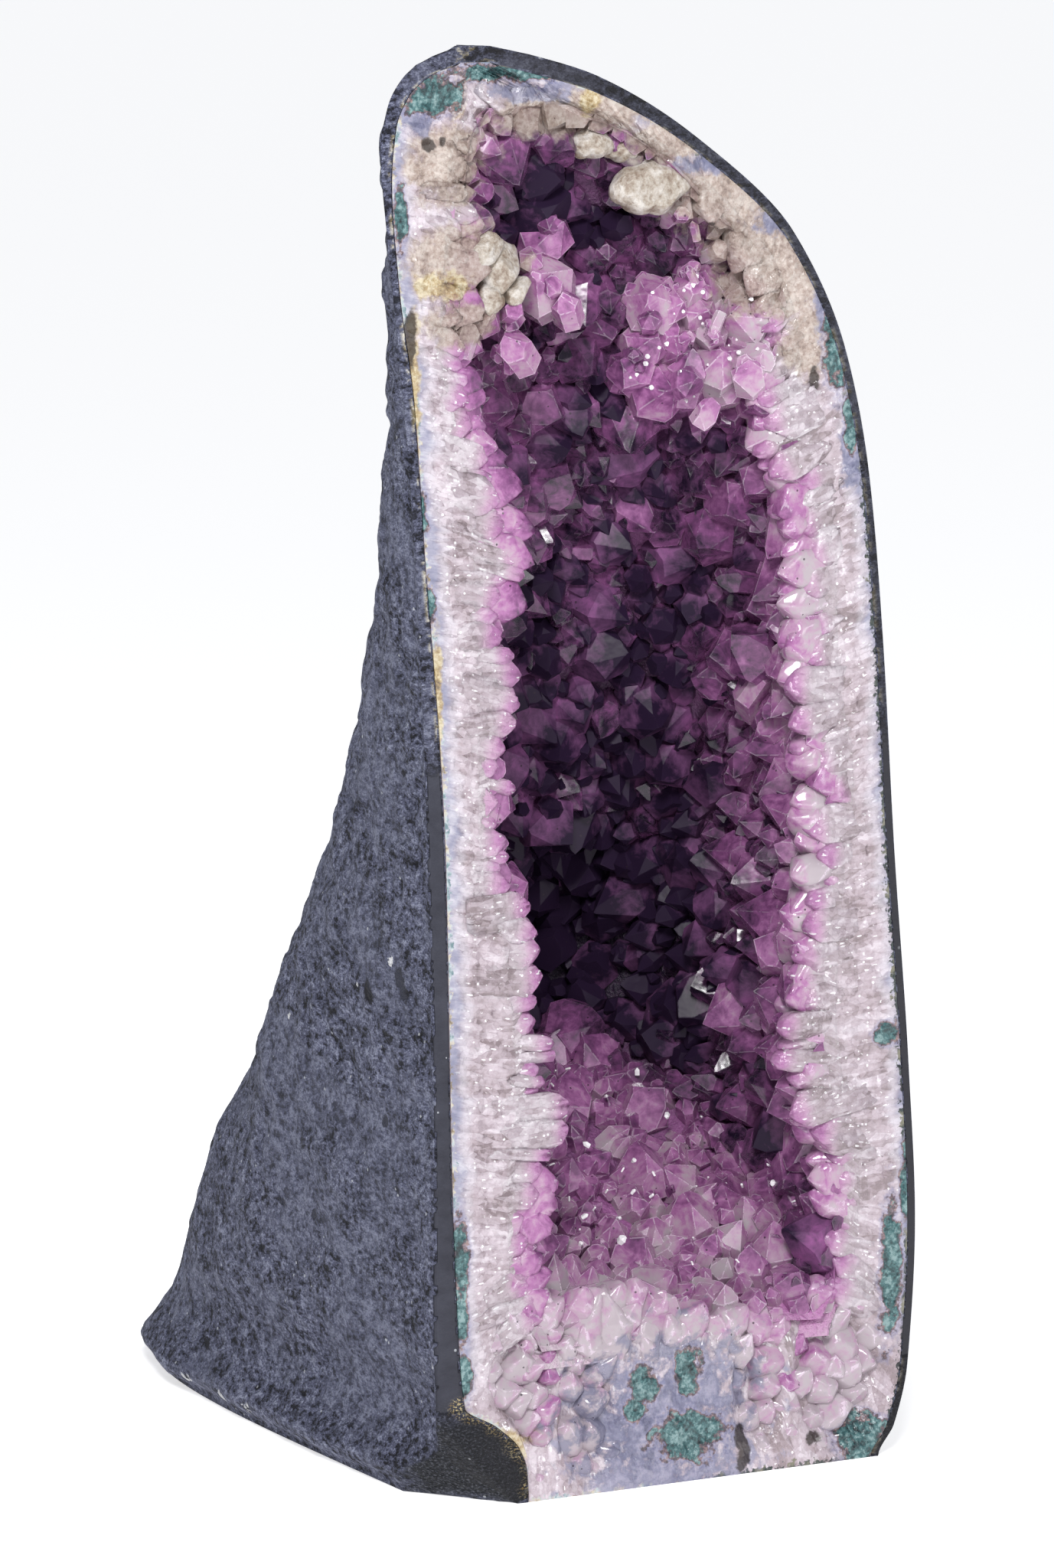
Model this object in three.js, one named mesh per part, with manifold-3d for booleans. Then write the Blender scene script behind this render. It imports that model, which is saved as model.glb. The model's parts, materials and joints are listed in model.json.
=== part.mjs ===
// Amethyst cathedral geode: a tall hollow geode sawn flat across its front. A wall of agate and
// white quartz is lined with a crust of amethyst crystals, and its back is coated with painted
// cement that spreads into a level foot, so that the geode stands on end.
//
// Millimetres, +Z up. X runs along the sawn face and Y runs into the geode. In the profiles
// below X is 0 at the middle of the width and Y is 0 on the sawn face; the group at the end
// moves the whole geode so that the origin is at the middle of its footprint.

import * as THREE from 'three';
import { mergeVertices } from 'three/addons/utils/BufferGeometryUtils.js';
import Module from 'manifold-3d';

const wasm = await Module();
wasm.setup();

// Driving dimensions
const HEIGHT = 461;
const FOOT_DEPTH = 280;
const GAP = 0.3;
const SAW_STOCK = 12;
const CRUST_THICKNESS = 6;
const RING_STEPS = 18;

// Crystals: the distance between neighbours, how far their tips stand out, how deep they are
// rooted in the crust, how far they lean, and the height of a tip over its half width
const CRYSTAL_PITCH = 28.5;
const CRYSTAL_HEIGHT = [10, 17];
const CRYSTAL_ROOT = 3;
const CRYSTAL_LEAN = 0.34;
const TIP_STEEPNESS = 0.95;

// Profiles over the height: pairs of Z and value. left and right are X on the sawn face, depth
// is the largest Y, and power sets the section: 2 is an ellipse, more is squarer, less is sharper.
const OUTSIDE = {
  left: [[0, -74], [10, -79.5], [120, -79.5], [200, -81.5], [300, -86], [360, -91],
    [400, -95.5], [430, -98], [443, -95.5], [452, -90], [459, -78], [HEIGHT, -70]],
  right: [[0, 84.5], [10, 90.5], [30, 95.5], [75, 98], [130, 95], [200, 89], [270, 84],
    [322, 78.5], [362, 69.5], [401, 49.5], [431, 14.5], [451, -21.5], [459, -49.5], [HEIGHT, -60]],
  depth: [[0, FOOT_DEPTH - 6], [8, FOOT_DEPTH], [21, 275], [45, 258], [81, 237], [106, 215],
    [142, 187], [177, 162], [211, 134], [244, 115], [275, 99], [316, 82], [347, 67], [381, 53],
    [415, 43], [440, 34], [455, 23], [HEIGHT, 10]],
  power: [[0, 4.2], [50, 3.6], [100, 3.2], [300, 2.2], [400, 1.8], [HEIGHT, 1.6]],
  levels: [0, 9, 28, 54, 82, 112, 142, 172, 202, 232, 262, 290, 318, 346, 374, 400, 420, 436, 448, 456, HEIGHT],
};

// The agate skin of the geode itself, inside the cement. It meets the ground only along the front.
const SKIN = {
  left: [[0, -46], [22, -46], [26, -49], [33, -69], [60, -71.5], [107, -73.5], [205, -75.5],
    [243, -77.5], [301, -82.5], [353, -86.5], [387, -91.5], [420, -94], [436, -92.5],
    [446, -88], [453, -79], [456, -70]],
  right: [[0, 81.5], [10, 87.5], [30, 92.5], [75, 95], [130, 92], [200, 86], [270, 81],
    [322, 75.5], [360, 67], [398, 47.5], [428, 12], [446, -22.5], [453, -48], [456, -60]],
  depth: [[0, 80], [40, 122], [90, 148], [140, 156], [172, 148], [211, 122], [244, 105],
    [275, 90], [316, 74], [347, 60], [381, 46.5], [415, 36.5], [438, 27], [450, 16], [456, 5]],
  power: [[0, 2.8], [150, 2.7], [280, 2.2], [380, 1.8], [456, 1.6]],
  levels: [0, 12, 25, 33, 60, 95, 130, 160, 190, 220, 250, 280, 312, 344, 374, 400, 420, 436, 448, 456],
};

// The hollow that the wall leaves, before the crust lines it. Its floor climbs to the back.
const HOLLOW = {
  left: [[42, -46], [60, -52], [105, -53], [130, -50], [185, -55], [208, -62], [300, -65],
    [343, -72], [369, -77], [400, -75], [430, -73], [442, -66], [448, -52]],
  right: [[42, 66], [60, 75], [95, 76], [148, 68], [198, 71], [223, 74], [260, 69], [300, 66],
    [325, 60], [351, 54], [370, 52], [391, 43], [409, 27], [427, 6], [440, -20], [448, -42]],
  depth: [[42, 4], [60, 30], [100, 82], [133, 120], [155, 128], [184, 116], [216, 94], [248, 78],
    [278, 66], [321, 54], [349, 45], [382, 35.5], [415, 27], [435, 17], [448, 4]],
  power: [[42, 2.4], [160, 2.8], [300, 2.4], [448, 2.1]],
  levels: [42, 52, 68, 88, 110, 134, 156, 180, 206, 232, 258, 286, 314, 340, 366, 390, 410, 426, 438, 448],
};

// The inner face of the crust, which the crystals stand on
const LINING = {
  left: shifted(HOLLOW.left, CRUST_THICKNESS),
  right: shifted(HOLLOW.right, -CRUST_THICKNESS),
  depth: shifted(HOLLOW.depth, -CRUST_THICKNESS),
  power: HOLLOW.power,
  levels: [50, 68, 88, 110, 134, 156, 180, 206, 232, 258, 286, 314, 340, 366, 390, 410, 426, 434, 441],
};

// Swells of the hollow's wall: where each is, as Z and the turn around the section in radians
// from the right edge, how far it spreads, and how far it stands out (or sinks in, if negative)
const SWELLS = [
  { z: 352, turn: 0.95, high: 22, wide: 0.45, out: 13 },
  { z: 396, turn: 0.6, high: 13, wide: 0.4, out: -4 },
  { z: 256, turn: 0.45, high: 20, wide: 0.3, out: 8 },
  { z: 88, turn: 0.38, high: 16, wide: 0.3, out: -7 },
  { z: 216, turn: 2.75, high: 15, wide: 0.3, out: -6 },
  { z: 205, turn: 1.5, high: 18, wide: 0.35, out: 7 },
  { z: 300, turn: 2.1, high: 24, wide: 0.35, out: 6 },
  { z: 110, turn: 1.9, high: 18, wide: 0.4, out: 6 },
];

// Lumps of cream calcite on the crust: centre and half sizes along X, Y and Z
const CALCITE_LUMPS = [
  { at: [2, 9, 419], half: [12, 9, 8] },
  { at: [-9, 8, 416], half: [8, 8, 6] },
  { at: [11, 8, 413], half: [8, 8, 8] },
  { at: [-59, 7, 386], half: [7, 8, 9] },
  { at: [-66, 5, 378], half: [7, 6, 7] },
];

// The foot's front left corner is trimmed by a plane through these three points
const CORNER_TRIM = [[-50, 0, 0], [-82, 43, 0], [-81, 0, 32]];

let seed = 7;

function random(low, high) {
  seed = (seed * 16807) % 2147483647;
  return low + (high - low) * seed / 2147483647;
}

function shifted(profile, by) {
  return profile.map(([z, value]) => [z, value + by]);
}

// Slope of a profile at one of its points, kept at 0 on a peak so that the curve never overshoots
function slopeAt(profile, i) {
  if (i === 0 || i === profile.length - 1) return 0;
  const before = (profile[i][1] - profile[i - 1][1]) / (profile[i][0] - profile[i - 1][0]);
  const after = (profile[i + 1][1] - profile[i][1]) / (profile[i + 1][0] - profile[i][0]);
  return before * after <= 0 ? 0 : 2 * before * after / (before + after);
}

// Smooth value of a profile at height z
function along(profile, z) {
  const last = profile.length - 1;
  if (z <= profile[0][0]) return profile[0][1];
  if (z >= profile[last][0]) return profile[last][1];
  const i = profile.findIndex(([level]) => level > z) - 1;
  const span = profile[i + 1][0] - profile[i][0];
  const t = (z - profile[i][0]) / span;
  const ease = t * t * (3 - 2 * t);
  const start = t * (1 - t) * (1 - t) * span * slopeAt(profile, i);
  const end = t * t * (t - 1) * span * slopeAt(profile, i + 1);
  return profile[i][1] * (1 - ease) + profile[i + 1][1] * ease + start + end;
}

// A point of a shape's wall at height z, turned from the right edge (0) to the left edge (PI)
function wallPoint(shape, z, turn, grow = 0) {
  const left = along(shape.left, z) - grow;
  const right = along(shape.right, z) + grow;
  const depth = along(shape.depth, z) + grow;
  const power = along(shape.power, z);
  const c = Math.cos(turn);
  const s = Math.max(Math.sin(turn), 0);
  const reach = (Math.abs(c) ** power + s ** power) ** (-1 / power);
  const out = shape.relief ? shape.relief(z, turn) : 0;
  const x = (left + right) / 2 + (right - left) / 2 * reach * c;
  return new THREE.Vector3(x + out * c, depth * reach * s + out * s, z);
}

// Low unevenness of the cement, which fades out at the sawn face and the ground
function cementRelief(z, turn) {
  const waves = Math.sin(3.1 * turn + z / 29) + Math.sin(6.3 * turn - z / 17) + Math.sin(11 * turn + z / 11);
  return 0.9 * waves * Math.sin(turn) * Math.min(1, z / 20);
}

// Swells of the hollow, with a slow wave so that no stretch of it is smooth
function hollowRelief(z, turn) {
  let out = 1.5 * Math.sin(4 * turn + z / 21) * Math.sin(turn);
  for (const swell of SWELLS) {
    const up = (z - swell.z) / swell.high;
    const round = (turn - swell.turn) / swell.wide;
    out -= swell.out * Math.exp(-up * up - round * round);
  }
  return out;
}

OUTSIDE.relief = cementRelief;
HOLLOW.relief = hollowRelief;
LINING.relief = hollowRelief;

function toSolid(geometry) {
  geometry.deleteAttribute('normal');
  geometry.deleteAttribute('uv');
  const merged = mergeVertices(geometry, 1e-3);
  return new wasm.Manifold(new wasm.Mesh({
    numProp: 3,
    vertProperties: new Float32Array(merged.attributes.position.array),
    triVerts: new Uint32Array(merged.index.array),
  }));
}

function toMesh(solid, name, color, roughness) {
  const cut = solid.getMesh();
  const indexed = new THREE.BufferGeometry();
  indexed.setAttribute('position', new THREE.BufferAttribute(new Float32Array(cut.vertProperties), 3));
  indexed.setIndex(new THREE.BufferAttribute(new Uint32Array(cut.triVerts), 1));
  const geometry = indexed.toNonIndexed();
  geometry.computeVertexNormals();
  const material = new THREE.MeshStandardMaterial({ color, roughness, metalness: 0, flatShading: true });
  const mesh = new THREE.Mesh(geometry, material);
  mesh.name = name;
  return mesh;
}

// One closed solid through the sections of a shape, grown all round or shrunk if grow is
// negative. It starts a little in front of the face, which the saw cut takes off, and a shape
// that is grown as a cutter runs on straight below the ground.
function loft(shape, grow = 0) {
  const sections = shape.levels.map((level) => ({ level, z: level }));
  if (grow > 0) {
    sections.unshift({ level: sections[0].level, z: sections[0].z - SAW_STOCK });
    sections.push({ level: sections.at(-1).level, z: sections.at(-1).z + grow });
  } else {
    sections[0].z -= grow;
    sections.at(-1).z += grow;
  }
  const last = sections.length - 1;
  const points = [];
  const faces = [];
  const count = RING_STEPS + 3;
  sections.forEach(({ level, z }) => {
    const ring = [];
    for (let i = 0; i <= RING_STEPS; i++) {
      const point = wallPoint(shape, level, Math.PI * i / RING_STEPS, grow);
      ring.push([point.x, point.y, z]);
    }
    const start = ring[0];
    const end = ring[RING_STEPS];
    points.push([start[0], -SAW_STOCK, z], ...ring, [end[0], -SAW_STOCK, z]);
  });
  for (let j = 0; j < last; j++) {
    for (let i = 0; i < count; i++) {
      const a = j * count + i;
      const b = j * count + (i + 1) % count;
      faces.push(a, b, b + count, a, b + count, a + count);
    }
  }
  for (const [j, turnsUp] of [[0, false], [last, true]]) {
    const first = points[j * count];
    const final = points[j * count + count - 1];
    const centre = points.push([(first[0] + final[0]) / 2, -SAW_STOCK * 0.6, first[2]]) - 1;
    for (let i = 0; i < count; i++) {
      const a = j * count + i;
      const b = j * count + (i + 1) % count;
      faces.push(centre, turnsUp ? a : b, turnsUp ? b : a);
    }
  }
  const geometry = new THREE.BufferGeometry();
  geometry.setAttribute('position', new THREE.BufferAttribute(new Float32Array(points.flat()), 3));
  geometry.setIndex(faces);
  return toSolid(geometry);
}

// Everything behind the saw cut
function behindFace() {
  const block = new THREE.BoxGeometry(600, 600, 1200);
  block.translate(0, 300, 0);
  return toSolid(block);
}

// Block that trims the foot's front left corner
function cornerTrim() {
  const corners = CORNER_TRIM.map((point) => new THREE.Vector3(...point));
  const plane = new THREE.Plane().setFromCoplanarPoints(...corners);
  if (plane.normal.z > 0) plane.negate();
  const block = new THREE.BoxGeometry(300, 300, 120);
  block.translate(0, 0, 60);
  block.applyQuaternion(new THREE.Quaternion().setFromUnitVectors(new THREE.Vector3(0, 0, 1), plane.normal));
  block.translate(...corners[0].toArray());
  return toSolid(block);
}

// A six-sided crystal with a pointed end, standing at a point of the crust along a direction
function crystal(at, direction, height) {
  const outline = [[0, -CRYSTAL_ROOT], [(height + CRYSTAL_ROOT) / TIP_STEEPNESS, -CRYSTAL_ROOT], [0, height]];
  const geometry = new THREE.LatheGeometry(outline.map(([x, y]) => new THREE.Vector2(x, y)), 6);
  geometry.rotateY(random(0, Math.PI / 3));
  geometry.scale(1, 1, random(0.75, 1));
  geometry.applyQuaternion(new THREE.Quaternion().setFromUnitVectors(new THREE.Vector3(0, 1, 0), direction));
  geometry.translate(at.x, at.y, at.z);
  return toSolid(geometry);
}

// Direction into the hollow at a point of the lining
function inwards(z, turn) {
  const step = 0.01;
  const round = wallPoint(LINING, z, turn + step).sub(wallPoint(LINING, z, turn - step));
  const up = wallPoint(LINING, z + 1, turn).sub(wallPoint(LINING, z - 1, turn));
  return up.cross(round).normalize();
}

// Turns around the section at height z that lie about one pitch apart along the wall
function turnsAcross(z, offset) {
  const steps = 80;
  const lengths = [0];
  for (let i = 1; i <= steps; i++) {
    const before = wallPoint(LINING, z, Math.PI * (i - 1) / steps);
    lengths.push(lengths[i - 1] + before.distanceTo(wallPoint(LINING, z, Math.PI * i / steps)));
  }
  const count = Math.round(lengths[steps] / CRYSTAL_PITCH);
  const turns = [];
  for (let k = 0; k < count; k++) {
    const target = lengths[steps] * Math.min((k + offset + random(-0.3, 0.3)) / count, 0.995);
    const i = lengths.findIndex((length) => length >= Math.max(target, 0.01));
    turns.push(Math.PI * (i - (lengths[i] - target) / (lengths[i] - lengths[i - 1])) / steps);
  }
  return turns;
}

// The crystals of the hollow, row above row, joined in one solid
function crystals() {
  let joined = null;
  let row = 0;
  let z = LINING.levels[0] + 3;
  while (z < LINING.levels[LINING.levels.length - 1] - 5) {
    for (const turn of turnsAcross(z, row % 2 ? 0.75 : 0.25)) {
      const at = wallPoint(LINING, z + random(-5, 5), turn);
      const lean = new THREE.Vector3(random(-1, 1), random(-1, 1), random(-1, 1));
      const direction = inwards(z, turn).addScaledVector(lean, CRYSTAL_LEAN).normalize();
      const one = crystal(at, direction, random(...CRYSTAL_HEIGHT));
      joined = joined ? joined.add(one) : one;
    }
    const climb = along(LINING.depth, z + 2) - along(LINING.depth, z - 2);
    z += 0.9 * CRYSTAL_PITCH / Math.hypot(1, climb / 4);
    row += 1;
  }
  return joined;
}

// One lump of calcite: a ball pulled to its half sizes and made uneven
function calciteLump({ at, half }) {
  const geometry = new THREE.IcosahedronGeometry(1, 1);
  geometry.deleteAttribute('normal');
  geometry.deleteAttribute('uv');
  const ball = mergeVertices(geometry, 1e-3);
  const position = ball.attributes.position;
  for (let i = 0; i < position.count; i++) {
    const swell = random(0.84, 1.12);
    position.setXYZ(i, position.getX(i) * swell, position.getY(i) * swell, position.getZ(i) * swell);
  }
  ball.scale(...half);
  ball.translate(...at);
  return toSolid(ball);
}

function cementBack(face) {
  return loft(OUTSIDE).subtract(loft(SKIN, GAP)).intersect(face).subtract(cornerTrim());
}

function geodeWall(face) {
  return loft(SKIN).subtract(loft(HOLLOW)).intersect(face).subtract(cornerTrim());
}

// The crust is what is left of the hollow once the one open space inside it is taken out, so
// that no pocket between crystals is sealed in
function amethystCrust(face) {
  const stock = loft(HOLLOW, -GAP);
  let crust = stock.subtract(loft(LINING)).add(crystals());
  for (const lump of CALCITE_LUMPS) {
    crust = crust.add(calciteLump(lump));
  }
  const spaces = stock.subtract(crust).decompose();
  const open = spaces.reduce((a, b) => (a.volume() > b.volume() ? a : b));
  return stock.subtract(open).intersect(face);
}

const face = behindFace();
const geode = new THREE.Group();
geode.add(toMesh(cementBack(face), 'cement_back', 0x454a57, 0.9));
geode.add(toMesh(geodeWall(face), 'geode_wall', 0xc3bfd0, 0.35));
geode.add(toMesh(amethystCrust(face), 'amethyst_crust', 0x8f62a6, 0.15));
geode.position.set(0, -FOOT_DEPTH / 2, 0);
geode.updateMatrixWorld(true);

export default geode;
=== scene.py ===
import itertools
import json
import math

import bmesh
import bpy
import numpy as np
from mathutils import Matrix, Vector

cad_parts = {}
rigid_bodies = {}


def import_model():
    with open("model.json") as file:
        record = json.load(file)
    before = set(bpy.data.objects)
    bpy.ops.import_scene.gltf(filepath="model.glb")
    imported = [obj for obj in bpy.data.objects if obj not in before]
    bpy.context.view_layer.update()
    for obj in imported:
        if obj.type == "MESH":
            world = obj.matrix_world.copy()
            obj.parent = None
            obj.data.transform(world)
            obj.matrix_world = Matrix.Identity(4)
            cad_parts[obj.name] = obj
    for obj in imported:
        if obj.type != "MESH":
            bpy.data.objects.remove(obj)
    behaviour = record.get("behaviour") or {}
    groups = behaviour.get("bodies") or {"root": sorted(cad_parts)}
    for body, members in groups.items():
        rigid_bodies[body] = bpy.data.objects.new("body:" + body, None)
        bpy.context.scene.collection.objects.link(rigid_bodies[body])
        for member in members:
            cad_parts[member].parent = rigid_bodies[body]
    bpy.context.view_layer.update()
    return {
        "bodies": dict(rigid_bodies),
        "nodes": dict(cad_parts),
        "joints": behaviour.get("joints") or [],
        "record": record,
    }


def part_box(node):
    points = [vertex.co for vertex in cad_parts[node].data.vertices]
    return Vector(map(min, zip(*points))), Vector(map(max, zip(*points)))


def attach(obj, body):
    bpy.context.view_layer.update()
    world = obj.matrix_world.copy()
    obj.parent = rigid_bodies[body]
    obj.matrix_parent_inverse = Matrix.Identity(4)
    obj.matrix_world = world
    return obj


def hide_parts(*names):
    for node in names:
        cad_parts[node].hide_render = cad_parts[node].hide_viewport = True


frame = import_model()

# Amethyst cathedral geode: a painted cement coat and foot, the sawn wall of agate and white
# quartz, and the crust of amethyst crystals that lines the hollow.
#
# Shapes are worked out in millimetres on the sawn face: X along the face from the middle of the
# width, Y into the geode and Z up from the ground. place() takes them to the frame, in metres.

MM = 0.001
FACE_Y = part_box("geode_wall")[0].y
HEIGHT = 461
FOOT_DEPTH = 280
# Room between a piece and the one around it
GAP = 0.3
# Thickness of the crust's massive foot
CRUST_THICKNESS = 6

# The photograph's camera
IMAGE_LONG_SIDE = 2048
FOCAL_PIXELS = 9153
SENSOR_MM = 36
CAMERA_AZIMUTH = -29
CAMERA_ELEVATION = 8
CAMERA_DISTANCE = 2.2
CAMERA_TARGET = (-0.0445, FACE_Y + 0.00412, 0.230)

# Studio: each softbox with its place, what it looks at, its size in metres and its power in watts
SKY_COLOR = (0.93, 0.97, 1.06, 1)
SKY_STRENGTH = 0.38
SOFTBOXES = [("key_softbox", (-0.9, -1.5, 1.5), (0, -0.1, 0.23), (0.45, 0.45), 31),
             ("front_softbox", (0.4, -2.2, 0.9), (0, -0.1, 0.2), (0.8, 0.8), 9)]
FLOOR_REACH = 40
FLOOR_COLOR = (0.93, 0.93, 0.93, 1)
FLOOR_GLOW = (1.0, 0.99, 0.97, 1)
FLOOR_GLOW_STRENGTH = 0.6

# Profiles over the height: pairs of Z and value. left and right are X on the sawn face, depth
# is the largest Y, and power sets the section: 2 is an ellipse, more is squarer, less is sharper.
OUTSIDE = {
    "left": [(0, -74), (10, -79.5), (120, -79.5), (200, -81.5), (300, -86), (360, -91), (400, -95.5),
             (430, -98), (443, -95.5), (452, -90), (459, -78), (HEIGHT, -70)],
    "right": [(0, 84.5), (10, 90.5), (30, 95.5), (75, 98), (130, 95), (200, 89), (270, 84),
              (322, 78.5), (362, 69.5), (401, 49.5), (431, 14.5), (451, -21.5), (459, -49.5),
              (HEIGHT, -60)],
    "depth": [(0, FOOT_DEPTH - 6), (8, FOOT_DEPTH), (21, 275), (45, 258), (81, 237), (106, 215),
              (142, 187), (177, 162), (211, 134), (244, 115), (275, 99), (316, 82), (347, 67),
              (381, 53), (415, 43), (440, 34), (455, 23), (HEIGHT, 10)],
    "power": [(0, 4.2), (50, 3.6), (100, 3.2), (300, 2.2), (400, 1.8), (HEIGHT, 1.6)],
}
SKIN = {
    "left": [(0, -46), (10, -46.5), (18, -49.5), (26, -58), (33, -69), (60, -71.5), (107, -73.5),
             (205, -75.5), (243, -77.5), (301, -82.5), (353, -86.5), (387, -91.5), (420, -94), (436, -92.5),
             (446, -88), (453, -79), (456, -70)],
    "right": [(0, 81.5), (10, 87.5), (30, 92.5), (75, 95), (130, 92), (200, 86), (270, 81),
              (322, 75.5), (360, 67), (398, 47.5), (428, 12), (446, -22.5), (453, -48), (456, -60)],
    "depth": [(0, 80), (40, 122), (90, 148), (140, 156), (172, 148), (211, 122), (244, 105),
              (275, 90), (316, 74), (347, 60), (381, 46.5), (415, 36.5), (438, 27), (450, 16),
              (456, 5)],
    "power": [(0, 2.8), (150, 2.7), (280, 2.2), (380, 1.8), (456, 1.6)],
}
HOLLOW = {
    "left": [(42, -46), (60, -52), (105, -53), (130, -50), (185, -55), (208, -62), (300, -65),
             (343, -72), (369, -77), (400, -75), (430, -73), (442, -66), (448, -52)],
    "right": [(42, 66), (60, 75), (95, 76), (148, 68), (198, 71), (223, 74), (260, 69), (300, 66),
              (325, 60), (351, 54), (370, 52), (391, 43), (409, 27), (427, 6), (440, -20),
              (448, -42)],
    "depth": [(42, 4), (60, 30), (100, 82), (133, 120), (155, 128), (184, 116), (216, 94), (248, 78),
              (278, 66), (321, 54), (349, 45), (382, 35.5), (415, 27), (435, 17), (448, 4)],
    "power": [(42, 2.4), (160, 2.8), (300, 2.4), (448, 2.1)],
}
SHAPE_ENDS = {"outside": (0, HEIGHT), "skin": (0, 456), "hollow": (42, 448), "lining": (48, 442)}

# Swells of the hollow's wall: Z, turn around the section from the right edge in radians, how far
# each spreads up and round, and how far it stands out (or sinks in, if negative)
SWELLS = [(352, 0.95, 22, 0.45, 13), (396, 0.6, 13, 0.4, -4), (256, 0.45, 20, 0.3, 8),
          (88, 0.38, 16, 0.3, -7), (216, 2.75, 15, 0.3, -6), (205, 1.5, 18, 0.35, 7),
          (300, 2.1, 24, 0.35, 6), (110, 1.9, 18, 0.4, 6)]

# The foot's front left corner is trimmed by a plane through these three points
CORNER_TRIM = np.array([(-50, 0, 0), (-82, 43, 0), (-81, 0, 32)], float)

# Heights on the skin's outline and the heights of the hollow's outline that they look across to
MATCH_RIGHT = [(0, 42), (40, 52), (100, 97), (160, 158), (398, 391), (428, 421), (446, 438), (456, 448)]
MATCH_LEFT = [(0, 42), (40, 51), (100, 95), (160, 156), (400, 397), (436, 430), (446, 440), (456, 448)]

# How finely the surfaces are meshed: points along the sides, round the sections and across bands
CEMENT_COLUMNS = 240
CEMENT_ROWS = 330
INSIDE_COLUMNS = 28
SKIN_COLUMNS = 14
HOLLOW_COLUMNS = 24
LINING_COLUMNS = 70
BAND_STEPS = 8
CAP_STEPS = 4
SIDE_STEPS = 560
TOP_STEPS = 24
BOTTOM_STEPS = 170
RIM_STEPS = 40
CRUST_RIM_STEPS = 8

# The quartz's edge at the foot's trimmed corner, where gold grains lie: X and Z on the sawn face
GOLD_EDGE = np.array([(-71, 33), (-62, 29), (-54, 23), (-48, 16), (-46, 10), (-46, 4)], float)
# Chips of white paint and holes on the cement, whose black is painted shade: X, Y, Z and size
PAINT_CHIPS = [(-76, 187, 6, 5.5), (-76, 158, 6, 5.0), (-76, 139, 6, 5.0), (-79, 5, 47, 3.4),
               (-80, 29, 173, 3.4), (-78, 55, 161, 2.6), (-71, 118, 141, 2.6)]
PAINT_HOLES = [(-80, 45, 161, 5.0), (-80, 23, 168, 4.5), (-80, 20, 164, 3.5), (-79, 36, 120, 3.0),
               (-76, 90, 80, 3.0)]
# The strip beside the agate is smooth up to about this height, and rough above it
SMOOTH_STRIP_TOP = 245

# How far the tips of the rim's crystals stand past the lining, by height
REACH_LEFT = [(48, 6.5), (80, 4), (100, 6), (112, 11), (122, 12.5), (143, 10.5), (160, 9), (185, 8), (208, 4),
              (237, 7), (260, 8.5), (295, 8), (319, 11), (343, 4), (369, 3), (393, 6.5), (414, 2), (442, 1)]
REACH_RIGHT = [(48, 3), (95, 6), (120, 13), (148, 15), (172, 11), (198, 7), (215, 9), (240, 15), (255, 14),
               (274, 7), (300, 6.5), (325, 9), (351, 12), (370, 8), (391, 9), (409, 9), (442, 4)]

# Narrowest and widest columns of the rim
COLUMN_WIDTHS_RIGHT = (5, 11)
COLUMN_WIDTHS_LEFT = (3, 9.5)

# Parts of the face that lie deeper, behind crystals that weren't cut: X and Z, half width, half height
SUNK_PLACES = [(-46, 36, 16, 38), (70, 30, 22, 30), (-24, 28, 14, 30), (40, 28, 12, 26)]

# Angle between a quartz crystal's axis and the normals of its end faces
FACE_SLOPE = math.radians(51.8)
QUARTZ_IOR = 1.544
# What the veils, which are partly painted inner reflections, and the zones in a crystal add to its tone on
# the whole, where veil_and_reflection is 1
VEIL_AND_REFLECTION_MIDDLE = 0.78
# How much the saw's cuts through single crystals lean back towards their roots
SAW_TILT = 0.06
# Crystals of a darker tone than this are opaque and get the duller shaded copy of the amethyst, as painted
# shade deep in the hollow
SHADED_TONE = 0.74
# Crystals of the rim stand in front of this Y, and those of the crust behind it
BEHIND_RIM = 8
# Smallest distance between crystals of each kind, and how many places are tried
POINT_SPACING = 11.0
POINT_TRIES = 9000
INFILL_SPACING = 6.5
INFILL_TRIES = 16000
DRUSE_SPACING = 5.0
DRUSE_TRIES = 2000
DRUSE_HEIGHTS = (56, 116)
SIDE_SPACING = 7.0

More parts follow.
